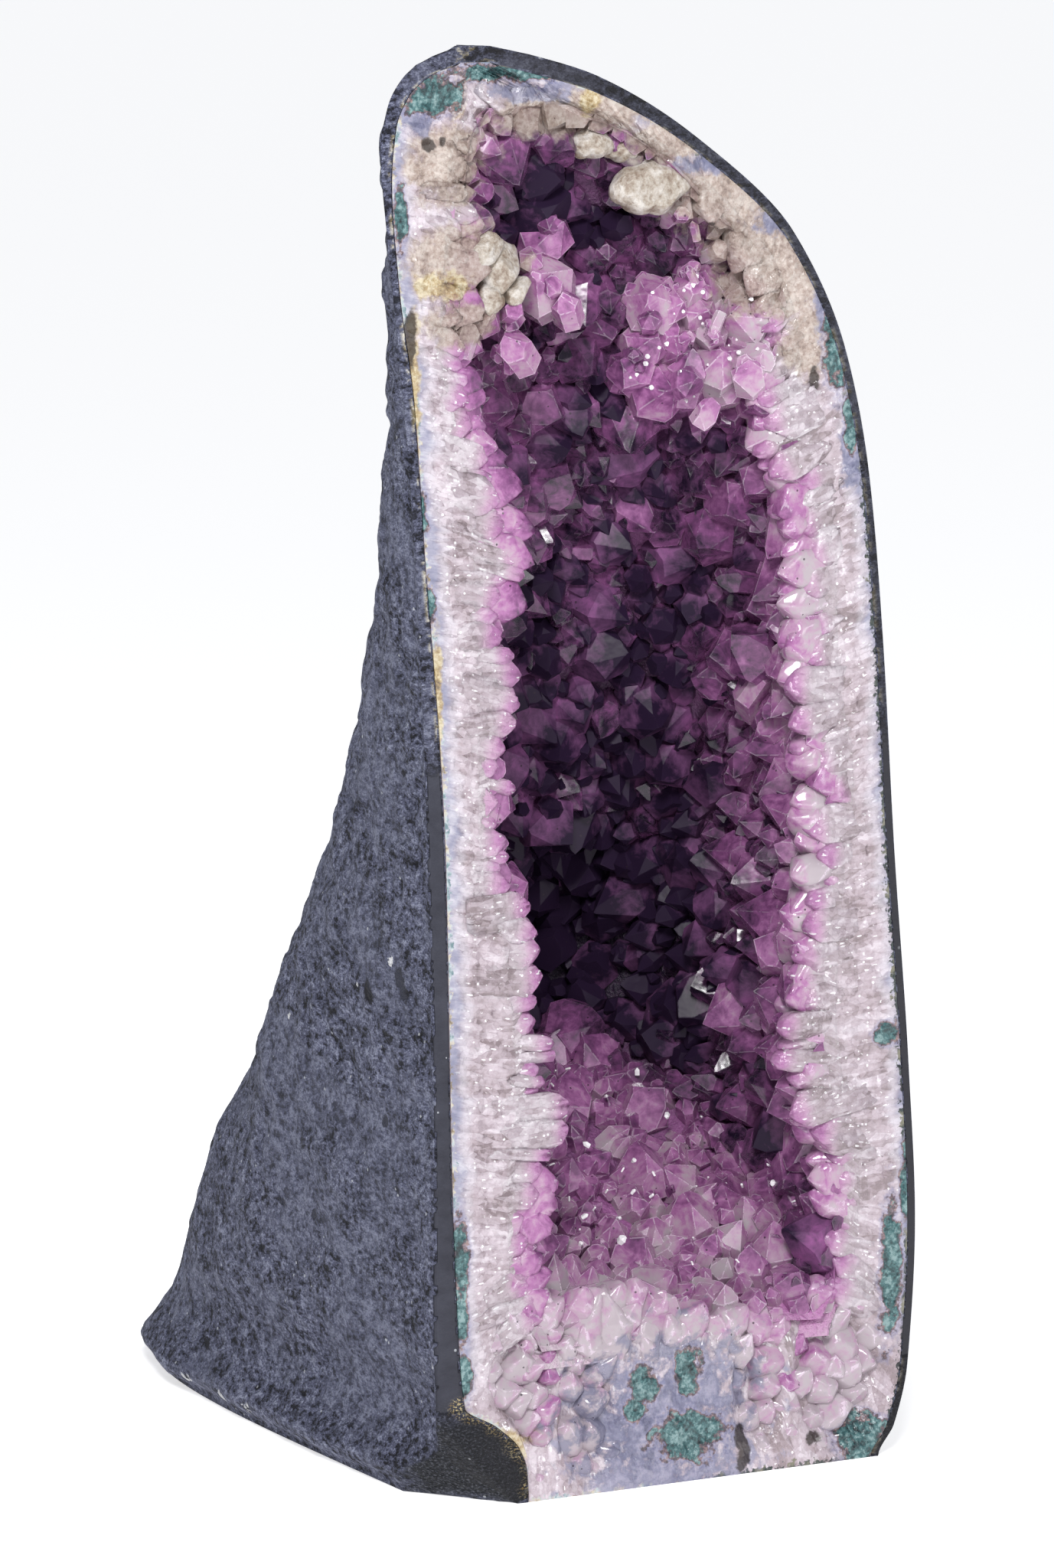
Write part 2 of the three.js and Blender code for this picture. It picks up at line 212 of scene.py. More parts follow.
# Crystals at the foot of the face that look out of it: X and Z of the middle, radius and tone
FOOT_CRYSTALS = [(-46, 80, 4, 0.6), (-50, 71, 5.5, 0.3), (-45, 62, 5, 0.55), (-52, 61, 4.5, 0.12),
                 (-39, 65, 3.5, 0.18), (-47, 45, 6, 0.08), (-38, 46, 3, 0.5), (-37, 39, 3.5, 0.5),
                 (-27, 43, 4, 0.12), (-30, 37, 4.5, 0.12), (-51, 36, 4.5, 0.16), (-36, 30, 4, 0.4),
                 (-51, 28, 5, 0.16), (-43, 26, 4.5, 0.2), (-45, 50, 4.5, 0.3), (-42, 43, 4, 0.26),
                 (-46, 33, 4.5, 0.1), (-47, 20, 4, 0.12), (-42, 15, 5, 0.24), (-33, 5, 6, 0.1),
                 (-25, 10, 5, 0.08), (-30, 21, 6, 0.06), (-39, 21, 3.5, 0.16), (-59, 38, 3, 0.08),
                 (-60, 60, 4, 0.08), (-60, 69, 4, 0.06), (-57, 52, 4, 0.06), (-35, 55, 3, 0.22),
                 (-30, 49, 3.5, 0.1), (-41, 6, 4, 0.12), (-58, 45, 4, 0.1), (-42, 35, 4, 0.1),
                 (-44, 53, 4, 0.14), (56, 41, 3.5, 0.65), (62, 35, 6, 0.35), (74, 40, 6, 0.1),
                 (72, 48, 6, 0.18), (67, 56, 5, 0.55), (76, 30, 5, 0.06), (64, 25, 5, 0.1),
                 (53, 20, 5, 0.06), (61, 15, 5.5, 0.05), (72, 17, 6, 0.03), (79, 22, 4.5, 0.06),
                 (52, 11, 5, 0.04), (63, 7, 5, 0.04), (42, 8, 3.5, 0.1), (46, 29, 4, 0.18),
                 (82, 31, 5, 0.04), (84, 42, 5, 0.03), (82, 14, 4, 0.04), (56, 4, 3.5, 0.14),
                 (73, 8, 4, 0.05), (51, 29, 3.5, 0.5), (83, 55, 4.5, 0.04), (78, 51, 4, 0.12),
                 (69, 32, 4, 0.1), (58, 29, 4, 0.08), (-22, 20, 5, 0.0), (-18, 30, 4.5, 0.0),
                 (-20, 38, 4, 0.04), (-14, 12, 4, 0.0), (-15, 42, 4, 0.02), (-19, 5, 4, 0.0),
                 (38, 20, 4, 0.06), (44, 20, 4, 0.1), (42, 36, 4, 0.1), (34, 30, 3.5, 0.04),
                 (33, 42, 4, 0.04), (26, 46, 3.5, 0.02)]

# Crystals of the ledge: X and Z of the middle, radius and tone
LEDGE_CRYSTALS = [(-16, 58, 10, 0.1), (-21, 61, 7, 0.12), (-12, 62, 7, 0.14), (-20, 53, 6.5, 0.06),
                  (-12, 53, 7, 0.06), (1, 53, 4.5, 0.05), (7, 52, 4.5, 0.05), (-6, 58, 4, 0.14),
                  (4, 61, 3.5, 0.22), (17, 54, 5.5, 0.22), (24, 50, 4.5, 0.14), (33, 52, 5, 0.18),
                  (44, 43, 7.5, 0.2), (41, 51, 4.5, 0.28), (49, 48, 3.5, 0.3), (-25, 64, 4.5, 0.25),
                  (-6, 65, 4.5, 0.25), (12, 50, 4, 0.08), (30, 46, 4, 0.1), (-24, 52, 4.5, 0.12),
                  (-2, 47, 4, 0.05), (21, 45, 4, 0.08), (36, 43, 4, 0.08), (-35, 62, 4.5, 0.2)]

# Large crystals near the top: X, Y and Z of the middle, radius and tone
TOP_CRYSTALS = [(5, 14, 379, 7.5, 0.26), (19, 12, 384, 4.5, 0.2), (35, 9, 373, 7.5, 0.14),
                (22, 11, 375, 5, 0.22), (19, 13, 358, 6, 0.42), (29, 10, 359, 7.5, 0.18),
                (40, 5, 360, 6, 0.0), (6, 16, 366, 6, 0.4), (12, 18, 351, 8, 0.45),
                (36, 11, 381, 4.5, 0.3), (13, 12, 378, 5, 0.25), (0, 19, 358, 6, 0.5),
                (25, 8, 368, 4, 0.06), (48, 5, 374, 5, 0.04), (-37, 11, 387, 8, 0.24),
                (-58, 7, 377, 5, 0.3), (-30, 16, 402, 7, 0.46), (28, 7, 402, 6, 0.02),
                (-49, 6, 368, 5, 0.3), (14, 9, 410, 4.5, 0.3)]

# Heights between which no larger crystals show past the left rim
BARE_LEFT = (108, 288)

# Calcite grown on the crust: X, Y and Z of the middle, then half the width, depth and height
CALCITE_LUMPS = [(0, 6, 416, 14, 8, 8.5), (-20, 7, 430, 8, 6, 5), (-9, 8, 428, 6, 6, 4)]
# Blocks of calcite along the rim, which end in the open: X and Z of the middle, and radius
CALCITE_BLOCKS = [(17, 414, 6), (22, 410, 7), (27, 405, 6), (31, 400, 7), (36, 396, 5), (41, 391, 6.5),
                  (46, 386, 6), (49, 379, 6.5), (53, 373, 6), (55, 366, 6.5), (57, 359, 5),
                  (11, 417, 5), (-54, 389, 7), (-58, 381, 5), (-62, 395, 5), (-50, 383, 4)]

# Patches of other minerals on the sawn face: X and Z of the middle, half the width, half the height
PATCHES = {
    "green": [(14, 15, 13, 8), (-3, 34, 6, 6), (12.7, 36, 5, 7), (-7, 25, 4, 4), (78, 6, 10, 9),
              (-71, 82, 3.5, 12), (-71, 60, 3, 8), (-70.5, 42, 4, 9), (-85, 316, 3, 9),
              (-82.5, 288, 3, 7), (-79, 446, 9, 7), (87, 140, 5, 4), (89, 62, 4, 22), (95, 90, 3, 14),
              (-45, 453, 30, 3), (66, 366, 5, 16), (-91, 408, 2.5, 10), (72, 340, 3, 9)],
    "ochre": [(-71, 446, 4, 9), (-76, 387, 12, 5), (-87, 352, 3, 34), (-79, 260, 2.5, 24),
              (-57, 19, 16, 6), (-24, 443, 4, 5)],
    "cream": [(44, 388, 26, 18), (24, 412, 22, 12), (4, 430, 16, 8), (-66, 396, 28, 12),
              (-74, 425, 18, 16), (-30, 440, 36, 9), (58, 366, 13, 14), (-68, 375, 16, 9),
              (36, 398, 20, 14)],
    "lavender": [(5, 20, 40, 31), (-46, 447, 17, 4), (-84, 438, 7, 5), (22, 423, 16, 4),
                 (44, 404, 12, 5), (62, 380, 5, 16), (-76, 70, 4, 50), (72, 330, 5, 16)],
    "stain": [(33, 9, 3, 9), (-81, 431, 3, 2.4), (-76, 432, 2, 2), (60, 9, 4, 2.5),
              (21, 402, 2.5, 2.5), (58, 353, 2, 5), (-88, 372, 2.5, 12), (9, 401, 3, 2)],
}

# Colours of the materials along their grain: each a value of the noise with the colour there
CREAM_STOPS = [(0.36, (0.17, 0.115, 0.085)), (0.48, (0.385, 0.30, 0.25)), (0.6, (0.56, 0.485, 0.43))]
OCHRE_STOPS = [(0.38, (0.13, 0.085, 0.04)), (0.48, (0.40, 0.29, 0.13)), (0.58, (0.62, 0.54, 0.37))]
LAVENDER_STOPS = [(0.38, (0.11, 0.115, 0.20)), (0.48, (0.16, 0.165, 0.26)), (0.60, (0.30, 0.29, 0.39))]
HALO_STOPS = [(0.42, (0.20, 0.20, 0.33)), (0.6, (0.40, 0.37, 0.46))]
RUSTY_STOPS = [(0.42, (0.05, 0.030, 0.03)), (0.52, (0.12, 0.062, 0.06)), (0.62, (0.28, 0.17, 0.15))]
GREEN_STOPS = [(0.40, (0.008, 0.016, 0.020)), (0.47, (0.030, 0.075, 0.080)),
               (0.53, (0.065, 0.155, 0.16)), (0.60, (0.22, 0.33, 0.33))]
CEMENT_STOPS = [(0.40, (0.009, 0.010, 0.018)), (0.458, (0.062, 0.066, 0.106)),
                (0.515, (0.130, 0.138, 0.215)), (0.585, (0.34, 0.36, 0.48))]
STRIP_STOPS = [(0.35, (0.025, 0.026, 0.040)), (0.65, (0.046, 0.048, 0.068))]
# Dark gritty cement of the trimmed corner, its darkness partly painted shade
BARE_CORNER_AND_SHADE_STOPS = [(0.42, (0.006, 0.007, 0.011)), (0.55, (0.024, 0.026, 0.036)), (0.68, (0.11, 0.115, 0.14))]
GOLD_STOPS = [(0.4, (0.30, 0.20, 0.06)), (0.6, (0.62, 0.52, 0.30))]
FLAKE_STOPS = [(0.4, (0.20, 0.16, 0.08)), (0.55, (0.62, 0.58, 0.50))]
QUARTZ_STOPS = [(0.39, (0.28, 0.22, 0.235)), (0.45, (0.405, 0.33, 0.36)), (0.53, (0.50, 0.42, 0.465)),
                (0.61, (0.65, 0.58, 0.625))]
AGATE_STOPS = [(0.38, (0.22, 0.22, 0.31)), (0.50, (0.34, 0.33, 0.42)), (0.62, (0.54, 0.52, 0.58))]
LEFT_SKIN_STOPS = [(0.40, (0.20, 0.15, 0.09)), (0.47, (0.56, 0.50, 0.40)), (0.54, (0.46, 0.52, 0.54)),
                   (0.61, (0.15, 0.23, 0.25))]
RIGHT_SKIN_STOPS = [(0.40, (0.016, 0.017, 0.018)), (0.55, (0.035, 0.048, 0.047)),
                    (0.64, (0.20, 0.19, 0.14))]
CALCITE_STOPS = [(0.38, (0.22, 0.16, 0.12)), (0.48, (0.39, 0.335, 0.28)), (0.6, (0.58, 0.54, 0.50))]
# Colours from white quartz (0) through lilac to the darkest amethyst (1)
AMETHYST_STOPS = [(0.0, (0.54, 0.465, 0.505)), (0.2, (0.56, 0.355, 0.495)), (0.4, (0.46, 0.18, 0.405)),
                  (0.6, (0.26, 0.086, 0.235)), (0.8, (0.12, 0.048, 0.118)), (1.0, (0.018, 0.009, 0.026))]

# Layers of the patches, one over the other: the patch, where its edge sets in and where it is whole,
# how far the edge wanders, how much it covers, the grain its colours follow, and the colours
PATCH_LAYERS = [("Cream", -0.05, 0.35, 1.6, 0.9, "cloud", CREAM_STOPS),
                ("Ochre", -0.1, 0.45, 2.4, 0.9, "cloud", OCHRE_STOPS),
                ("Lavender", -0.05, 0.4, 2.6, 0.92, "milky", LAVENDER_STOPS),
                ("Green", -0.45, -0.1, 2.0, 0.6, "fine", HALO_STOPS),
                ("Green", -0.14, 0.04, 2.6, 0.85, "fine", RUSTY_STOPS),
                ("Green", 0.06, 0.22, 2.6, 1.0, "cloud", GREEN_STOPS)]

# Noises of the cement, from its broad shade to its grit: scale, detail and roughness
CEMENT_GRAINS = [(20, 3, 0.5), (110, 3, 0.6), (330, 3, 0.66), (1000, 2, 0.6)]

# Plain colours that are laid over the ramps
STAIN = (0.028, 0.018, 0.014, 1)
# Dark of the pits and holes in the cement: painted shade
PIT_SHADE = (0.007, 0.007, 0.012, 1)
SMOOTH_PAINT = (0.062, 0.066, 0.100, 1)
WHITE_DOT = (0.6, 0.62, 0.66, 1)
WHITE_PAINT = (0.72, 0.72, 0.74, 1)
DARK_FRONT = (0.022, 0.021, 0.024, 1)
# Pale edges of the quartz, partly wear and partly painted highlight
WORN_AND_LIT_QUARTZ = (0.78, 0.70, 0.76, 1)
# White of the painted glints on the quartz
PAINTED_GLINT = (0.95, 0.92, 0.94, 1)
WHITE_LINE = (0.60, 0.57, 0.63, 1)
# Pale edges of the amethyst, partly wear and partly painted highlight
WORN_AND_LIT_AMETHYST = (0.88, 0.74, 0.86, 1)
DARK_SPECK = (0.03, 0.02, 0.03, 1)
RUSTY_SPECK = (0.20, 0.05, 0.04, 1)
# White of the druse, and of the bits that stand for painted glints
DRUSE_AND_GLINT_WHITE = (0.9, 0.87, 0.89, 1)

# Lighter and darker parts of the crust, partly its own colour and partly painted light and shade, such as
# the darkest spots deep in the hollow: X, Y and Z, how wide, and how much is added to the tone
TONE_AND_SHADE_SPOTS = [(22, 15, 372, 24, -0.42), (-40, 12, 390, 16, -0.12), (37, 107, 166, 28, 0.6),
              (22, 112, 180, 22, 0.4), (8, 116, 162, 24, 0.3), (60, 8, 72, 14, 0.35),
              (62, 12, 60, 16, 0.3), (-30, 30, 410, 30, 0.08), (20, 30, 395, 16, 0.12),
              (-47, 24, 344, 18, -0.12), (54, 25, 236, 24, -0.06), (52, 12, 142, 20, -0.04),
              (20, 50, 96, 26, -0.1), (-20, 30, 330, 44, 0.1), (-30, 24, 416, 26, 0.18)]

generator = np.random.default_rng(12)


def shifted(profile, by):
    return [(z, value + by) for z, value in profile]


LINING = {
    "left": shifted(HOLLOW["left"], CRUST_THICKNESS),
    "right": shifted(HOLLOW["right"], -CRUST_THICKNESS),
    "depth": shifted(HOLLOW["depth"], -CRUST_THICKNESS),
    "power": HOLLOW["power"],
}


def along(profile, z):
    """Smooth value of a profile at heights z, which never overshoots its points."""
    levels, values = np.array(profile, float).T
    z = np.clip(np.asarray(z, float), levels[0], levels[-1])
    spans = np.diff(levels)
    secants = np.diff(values) / spans
    slopes = np.zeros(len(values))
    same_way = secants[:-1] * secants[1:] > 0
    sums = np.where(same_way, secants[:-1] + secants[1:], 1)
    slopes[1:-1] = np.where(same_way, 2 * secants[:-1] * secants[1:] / sums, 0)
    i = np.clip(np.searchsorted(levels, z, side="right") - 1, 0, len(spans) - 1)
    t = (z - levels[i]) / spans[i]
    ease = t * t * (3 - 2 * t)
    start = t * (1 - t) ** 2 * spans[i] * slopes[i]
    end = t * t * (t - 1) * spans[i] * slopes[i + 1]
    return values[i] * (1 - ease) + values[i + 1] * ease + start + end


def no_relief(z, turn):
    return np.zeros(np.broadcast(z, turn).shape)


def cement_relief(z, turn):
    waves = np.sin(3.1 * turn + z / 29) + np.sin(6.3 * turn - z / 17) + np.sin(11 * turn + z / 11)
    return 0.9 * waves * np.sin(turn) * np.minimum(1, z / 20)


def hollow_relief(z, turn):
    out = 1.5 * np.sin(4 * turn + z / 21) * np.sin(turn)
    for swell_z, swell_turn, high, wide, stands_out in SWELLS:
        out = out - stands_out * np.exp(-((z - swell_z) / high) ** 2 - ((turn - swell_turn) / wide) ** 2)
    return out


RELIEF = {"outside": cement_relief, "skin": no_relief, "hollow": hollow_relief, "lining": hollow_relief}
SHAPES = {"outside": OUTSIDE, "skin": SKIN, "hollow": HOLLOW, "lining": LINING}


def wall_point(name, z, turn, grow=0.0):
    """Points of a shape's wall at heights z, turned from the right edge (0) to the left edge (pi)."""
    shape = SHAPES[name]
    z, turn = np.broadcast_arrays(np.asarray(z, float), np.asarray(turn, float))
    left = along(shape["left"], z) - grow
    right = along(shape["right"], z) + grow
    depth = along(shape["depth"], z) + grow
    power = along(shape["power"], z)
    c = np.cos(turn)
    s = np.maximum(np.sin(turn), 0)
    reach = (np.abs(c) ** power + s ** power) ** (-1 / power)
    out = RELIEF[name](z, turn)
    x = (left + right) / 2 + (right - left) / 2 * reach * c + out * c
    return np.stack([x, depth * reach * s + out * s, z], axis=-1)


def place(points):
    """Points on the sawn face in millimetres, taken to the frame in metres."""
    return np.asarray(points, float) * MM + np.array([0, FACE_Y, 0])


def lattice_value(cell, seed):
    """Repeatable value from 0 to 1 for each whole-numbered point of a lattice."""
    mixed = cell[..., 0] * 374761393 + cell[..., 1] * 668265263 + cell[..., 2] * 1440662683
    mixed = (mixed + seed * 1274126177) & 0xFFFFFFFF
    mixed = ((mixed ^ (mixed >> 13)) * 1274126177) & 0xFFFFFFFF
    return ((mixed ^ (mixed >> 16)) & 0xFFFFFF) / 0xFFFFFF


def noise(points, size, seed=0):
    """Smooth noise from -1 to 1 with lumps about size across."""
    scaled = np.asarray(points, float) / size
    cell = np.floor(scaled).astype(np.int64)
    t = scaled - cell
    t = t * t * (3 - 2 * t)
    total = np.zeros(scaled.shape[:-1])
    for corner in itertools.product((0, 1), repeat=3):
        weight = np.prod(np.where(corner, t, 1 - t), axis=-1)
        total += weight * lattice_value(cell + np.array(corner), seed)
    return total * 2 - 1


def smooth_step(value, low, high):
    t = np.clip((value - low) / (high - low), 0, 1)
    return t * t * (3 - 2 * t)


def grid_quads(rows, columns, first=0):
    """Quads between the points of a grid that is listed row after row."""
    corner = np.arange(rows - 1)[:, None] * columns + np.arange(columns - 1) + first
    quads = np.stack([corner, corner + 1, corner + columns + 1, corner + columns], axis=-1)
    return quads.reshape(-1, 4)


def joined_grids(grids):
    """Points and quads of several grids, one after the other."""
    points, faces, first = [], [], 0
    for grid in grids:
        points.append(grid.reshape(-1, 3))
        faces.append(grid_quads(*grid.shape[:2], first))
        first += grid[..., 0].size
    return np.concatenate(points), np.concatenate(faces)


def ball(rows, columns):
    """Grid of points over a ball of radius 1, from its top to its bottom and once round it."""
    up, around = np.meshgrid(np.linspace(0, math.pi, rows), np.linspace(0, math.tau, columns), indexing="ij")
    return np.stack([np.sin(up) * np.cos(around), np.sin(up) * np.sin(around), np.cos(up)], axis=-1)


def make_piece(name, points, faces, slot, values=None, weld=None, smooth=True):
    """A mesh object from points in face millimetres, with float attributes, riding on the root body."""
    mesh = bpy.data.meshes.new(name)
    mesh.from_pydata(place(points).tolist(), [], [list(map(int, face)) for face in faces])
    for key, value in (values or {}).items():
        attribute = mesh.attributes.new(key, "FLOAT", "POINT")
        attribute.data.foreach_set("value", np.asarray(value, np.float32).ravel())
    if weld:
        work = bmesh.new()
        work.from_mesh(mesh)
        bmesh.ops.remove_doubles(work, verts=work.verts, dist=weld * MM)
        bmesh.ops.recalc_face_normals(work, faces=work.faces)
        work.to_mesh(mesh)
        work.free()
    if smooth:
        mesh.shade_smooth()
    piece = bpy.data.objects.new(name, mesh)
    bpy.context.scene.collection.objects.link(piece)
    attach(piece, "root")
    return piece


def normals_of(grid):
    """Unit normals of a grid of points, from its rows and columns."""
    across = np.gradient(grid, axis=1)
    up = np.gradient(grid, axis=0)
    normal = np.cross(across, up)
    return normal / np.maximum(np.linalg.norm(normal, axis=-1, keepdims=True), 1e-9)


# Camera, lights and floor
def make_camera():
    azimuth, elevation = math.radians(CAMERA_AZIMUTH), math.radians(CAMERA_ELEVATION)
    back = Vector((math.sin(azimuth) * math.cos(elevation),
                   -math.cos(azimuth) * math.cos(elevation), math.sin(elevation)))
    data = bpy.data.cameras.new("photo_camera")
    data.sensor_width = SENSOR_MM
    data.lens = FOCAL_PIXELS / IMAGE_LONG_SIDE * SENSOR_MM
    camera = bpy.data.objects.new("photo_camera", data)
    camera.location = Vector(CAMERA_TARGET) + back * CAMERA_DISTANCE
    camera.rotation_euler = back.to_track_quat("Z", "Y").to_euler()
    bpy.context.scene.collection.objects.link(camera)
    bpy.context.scene.camera = camera


def make_softbox(name, position, target, size, power):
    data = bpy.data.lights.new(name, "AREA")
    data.shape = "RECTANGLE"
    data.size, data.size_y = size
    data.energy = power
    lamp = bpy.data.objects.new(name, data)
    lamp.location = position
    towards = Vector(target) - Vector(position)
    lamp.rotation_euler = towards.to_track_quat("-Z", "Y").to_euler()
    bpy.context.scene.collection.objects.link(lamp)


def make_studio():
    world = bpy.data.worlds.new("studio")
    bpy.context.scene.world = world
    world.use_nodes = True
    sky = world.node_tree.nodes["Background"]
    sky.inputs["Color"].default_value = SKY_COLOR
    sky.inputs["Strength"].default_value = SKY_STRENGTH
    for softbox in SOFTBOXES:
        make_softbox(*softbox)
    bpy.context.scene.view_settings.view_transform = "Standard"


def make_floor():
    mesh = bpy.data.meshes.new("floor")
    corners = [(-FLOOR_REACH, -FLOOR_REACH, 0), (FLOOR_REACH, -FLOOR_REACH, 0),
               (FLOOR_REACH, FLOOR_REACH, 0), (-FLOOR_REACH, FLOOR_REACH, 0)]
    mesh.from_pydata(corners, [], [(0, 1, 2, 3)])
    floor = bpy.data.objects.new("floor", mesh)
    bpy.context.scene.collection.objects.link(floor)
    material, _, shader = new_material("pale_floor")
    set_plain(shader, {"Base Color": FLOOR_COLOR, "Roughness": 0.9, "Emission Color": FLOOR_GLOW,
                       "Emission Strength": FLOOR_GLOW_STRENGTH})
    mesh.materials.append(material)


# Small helpers for shader nodes
FLOAT, VECTOR, COLOR = "NodeSocketFloat", "NodeSocketVector", "NodeSocketColor"


class Nodes:
    """Adds nodes to a tree, each with its inputs given as values or as other nodes' outputs."""

    def __init__(self, tree):
        self.tree = tree

    def add(self, kind, inputs=None, **settings):
        node = self.tree.nodes.new(kind)
        for key, value in settings.items():
            setattr(node, key, value)
        for key, value in (inputs or {}).items():
            self.feed(node.inputs[key], value)
        return node

    def feed(self, socket, value):
        if isinstance(value, bpy.types.NodeSocket):
            self.tree.links.new(value, socket)
        else:
            socket.default_value = value

    def attribute(self, name):
        return self.add("ShaderNodeAttribute", attribute_name=name).outputs["Fac"]

    def place(self):
        return self.add("ShaderNodeTexCoord").outputs["Object"]

    def math(self, operation, *values, clamp=False):
        return self.add("ShaderNodeMath", dict(enumerate(values)), operation=operation,
                        use_clamp=clamp).outputs[0]

    def times(self, value, *others):
        """The product of all the values."""
        for other in others:
            value = self.math("MULTIPLY", value, other)
        return value

    def rest(self, value):
        """What is left of 1 beside the value."""
        return self.math("SUBTRACT", 1.0, value)

    def weighed(self, *terms, start=None):
        """The sum of values times their weights, added to start in the order given."""
        total = start
        for value, weight in terms:
            if total is None:
                total = self.times(value, weight)
            else:
                total = self.math("MULTIPLY_ADD", value, weight, total)
        return total

    def step(self, value, low, high):
        return self.add("ShaderNodeMapRange", {"Value": value, "From Min": low, "From Max": high},
                        interpolation_type="SMOOTHSTEP").outputs["Result"]

    def vector(self, operation, first, second, output="Vector"):
        node = self.add("ShaderNodeVectorMath", {0: first, 1: second}, operation=operation)
        return node.outputs[output]

    def axis(self, vector, name):
        return self.add("ShaderNodeSeparateXYZ", {"Vector": vector}).outputs[name]

    def combined(self, x, y, z):
        return self.add("ShaderNodeCombineXYZ", {"X": x, "Y": y, "Z": z}).outputs[0]

    def red(self, color):
        return self.add("ShaderNodeSeparateColor", {"Color": color}).outputs["Red"]

    def noise(self, vector, scale, detail, roughness, distortion=0.0):
        return self.add("ShaderNodeTexNoise", {"Vector": vector, "Scale": scale, "Detail": detail,
                        "Roughness": roughness, "Distortion": distortion}).outputs["Fac"]

    def cells(self, vector, scale):
        return self.add("ShaderNodeTexVoronoi", {"Vector": vector, "Scale": scale}).outputs

    def mix(self, share, first, second):
        node = self.add("ShaderNodeMix", data_type="RGBA")
        for socket, value in zip((node.inputs[0], node.inputs[6], node.inputs[7]), (share, first, second)):
            self.feed(socket, value)
        return node.outputs[2]

    def ramp(self, value, stops):
        node = self.add("ShaderNodeValToRGB", {"Fac": value})
        elements = node.color_ramp.elements
        while len(elements) < len(stops):
            elements.new(0.5)
        for element, (position, color) in zip(elements, stops):
            element.position = position
            element.color = (*color, 1)
        return node.outputs["Color"]

    def bump(self, height, distance):
        return self.add("ShaderNodeBump", {"Height": height, "Distance": distance}).outputs["Normal"]

    def group(self, tree, inputs):
        return self.add("ShaderNodeGroup", inputs, node_tree=tree).outputs


def new_material(name):
    material = bpy.data.materials.new(name)
    material.use_nodes = True
    shader = material.node_tree.nodes["Principled BSDF"]
    return material, Nodes(material.node_tree), shader


def set_plain(shader, values):
    """Sets sockets that have the same value all over the surface."""
    for socket, value in values.items():
        shader.inputs[socket].default_value = value


def let_light_in(shader, weight, radius):
    """Light that scatters under a milky surface, by its radius in metres."""
    set_plain(shader, {"Subsurface Weight": weight, "Subsurface Radius": radius, "Subsurface Scale": 1.0})


def new_group(name, inputs, outputs):
    """An empty shader node group, its helper, its named inputs and its named outputs."""
    tree = bpy.data.node_groups.new(name, "ShaderNodeTree")
    for label, kind in inputs:
        tree.interface.new_socket(label, in_out="INPUT", socket_type=kind)
    for label, kind in outputs:
        tree.interface.new_socket(label, in_out="OUTPUT", socket_type=kind)
    nodes = Nodes(tree)
    return tree, nodes, nodes.add("NodeGroupInput").outputs, nodes.add("NodeGroupOutput").inputs


def make_speckles():
    """Mask of small round specks: Size is their radius in cells, Share how many cells have one."""
    inputs = [("Place", VECTOR), ("Scale", FLOAT), ("Size", FLOAT), ("Share", FLOAT)]
    tree, nodes, given, result = new_group("speckles", inputs, [("Mask", FLOAT)])
    cells = nodes.cells(given["Place"], given["Scale"])
    chosen = nodes.math("LESS_THAN", nodes.red(cells["Color"]), given["Share"])
    near = nodes.math("LESS_THAN", cells["Distance"], given["Size"])
    nodes.feed(result["Mask"], nodes.times(chosen, near))
    return tree


def specks(nodes, vector, scale, size, share):
    inputs = {"Place": vector, "Scale": scale, "Size": size, "Share": share}
    return nodes.group(speckles, inputs)["Mask"]


def make_facets():
    """Small flat facets that each tilt their own way: Height in metres, and Shade from 0 to 1, which goes
    with each facet's tilt and, laid into a colour, paints light and shade on the facets.
    """
    inputs = [("Place", VECTOR), ("Scale", FLOAT)]
    tree, nodes, given, result = new_group("facets", inputs, [("Height", FLOAT), ("Shade", FLOAT)])
    cells = nodes.cells(given["Place"], given["Scale"])
    offset = nodes.vector("SUBTRACT", given["Place"], cells["Position"])
    tilt = nodes.vector("SUBTRACT", cells["Color"], (0.5, 0.5, 0.5))
    nodes.feed(result["Height"], nodes.vector("DOT_PRODUCT", offset, tilt, "Value"))
    nodes.feed(result["Shade"], nodes.red(cells["Color"]))
    return tree


def make_mineral_patches():
    """Stone colour with the patches of other minerals laid over it. Each patch input runs from 1 at
    the patch's middle through 0 at its edge."""
    inputs = [("Color", COLOR), ("Place", VECTOR)] + [(name.capitalize(), FLOAT) for name in PATCHES]
    tree, nodes, given, result = new_group("mineral_patches", inputs, [("Color", COLOR)])
    ragged = nodes.noise(given["Place"], 150, 4, 0.62)
    fine = nodes.noise(given["Place"], 620, 4, 0.65)
    grains = {"fine": fine, "cloud": nodes.weighed((fine, 0.5), (ragged, 0.5)),
              "milky": nodes.weighed((fine, 0.2), (ragged, 0.8))}

    def covered(patch, low, high, spread, share):
        wander = nodes.weighed((ragged, spread), start=-spread / 2)
        return nodes.times(nodes.step(nodes.math("ADD", given[patch], wander), low, high), share)

    color = given["Color"]
    for patch, low, high, spread, share, grain, stops in PATCH_LAYERS:
        color = nodes.mix(covered(patch, low, high, spread, share), color, nodes.ramp(grains[grain], stops))
    nodes.feed(result["Color"], nodes.mix(covered("Stain", 0.0, 0.35, 2.2, 0.9), color, STAIN))
    return tree


def patch_value(points, places):
    """1 at the middle of the nearest place, 0 at its edge and less outside, down to -1."""
    value = np.full(points.shape[:-1], -1.0)
    for x, z, half_width, half_height in places:
        away = np.hypot((points[..., 0] - x) / half_width, (points[..., 2] - z) / half_height)
        value = np.maximum(value, 1 - away)
    return value


def patch_values(points):
    """Patch attributes of points. The patches are only skin deep behind the sawn face."""
    deep = smooth_step(points[..., 1], 8, 30) * 2
    return {name: np.maximum(patch_value(points, places) - deep, -1) for name, places in PATCHES.items()}


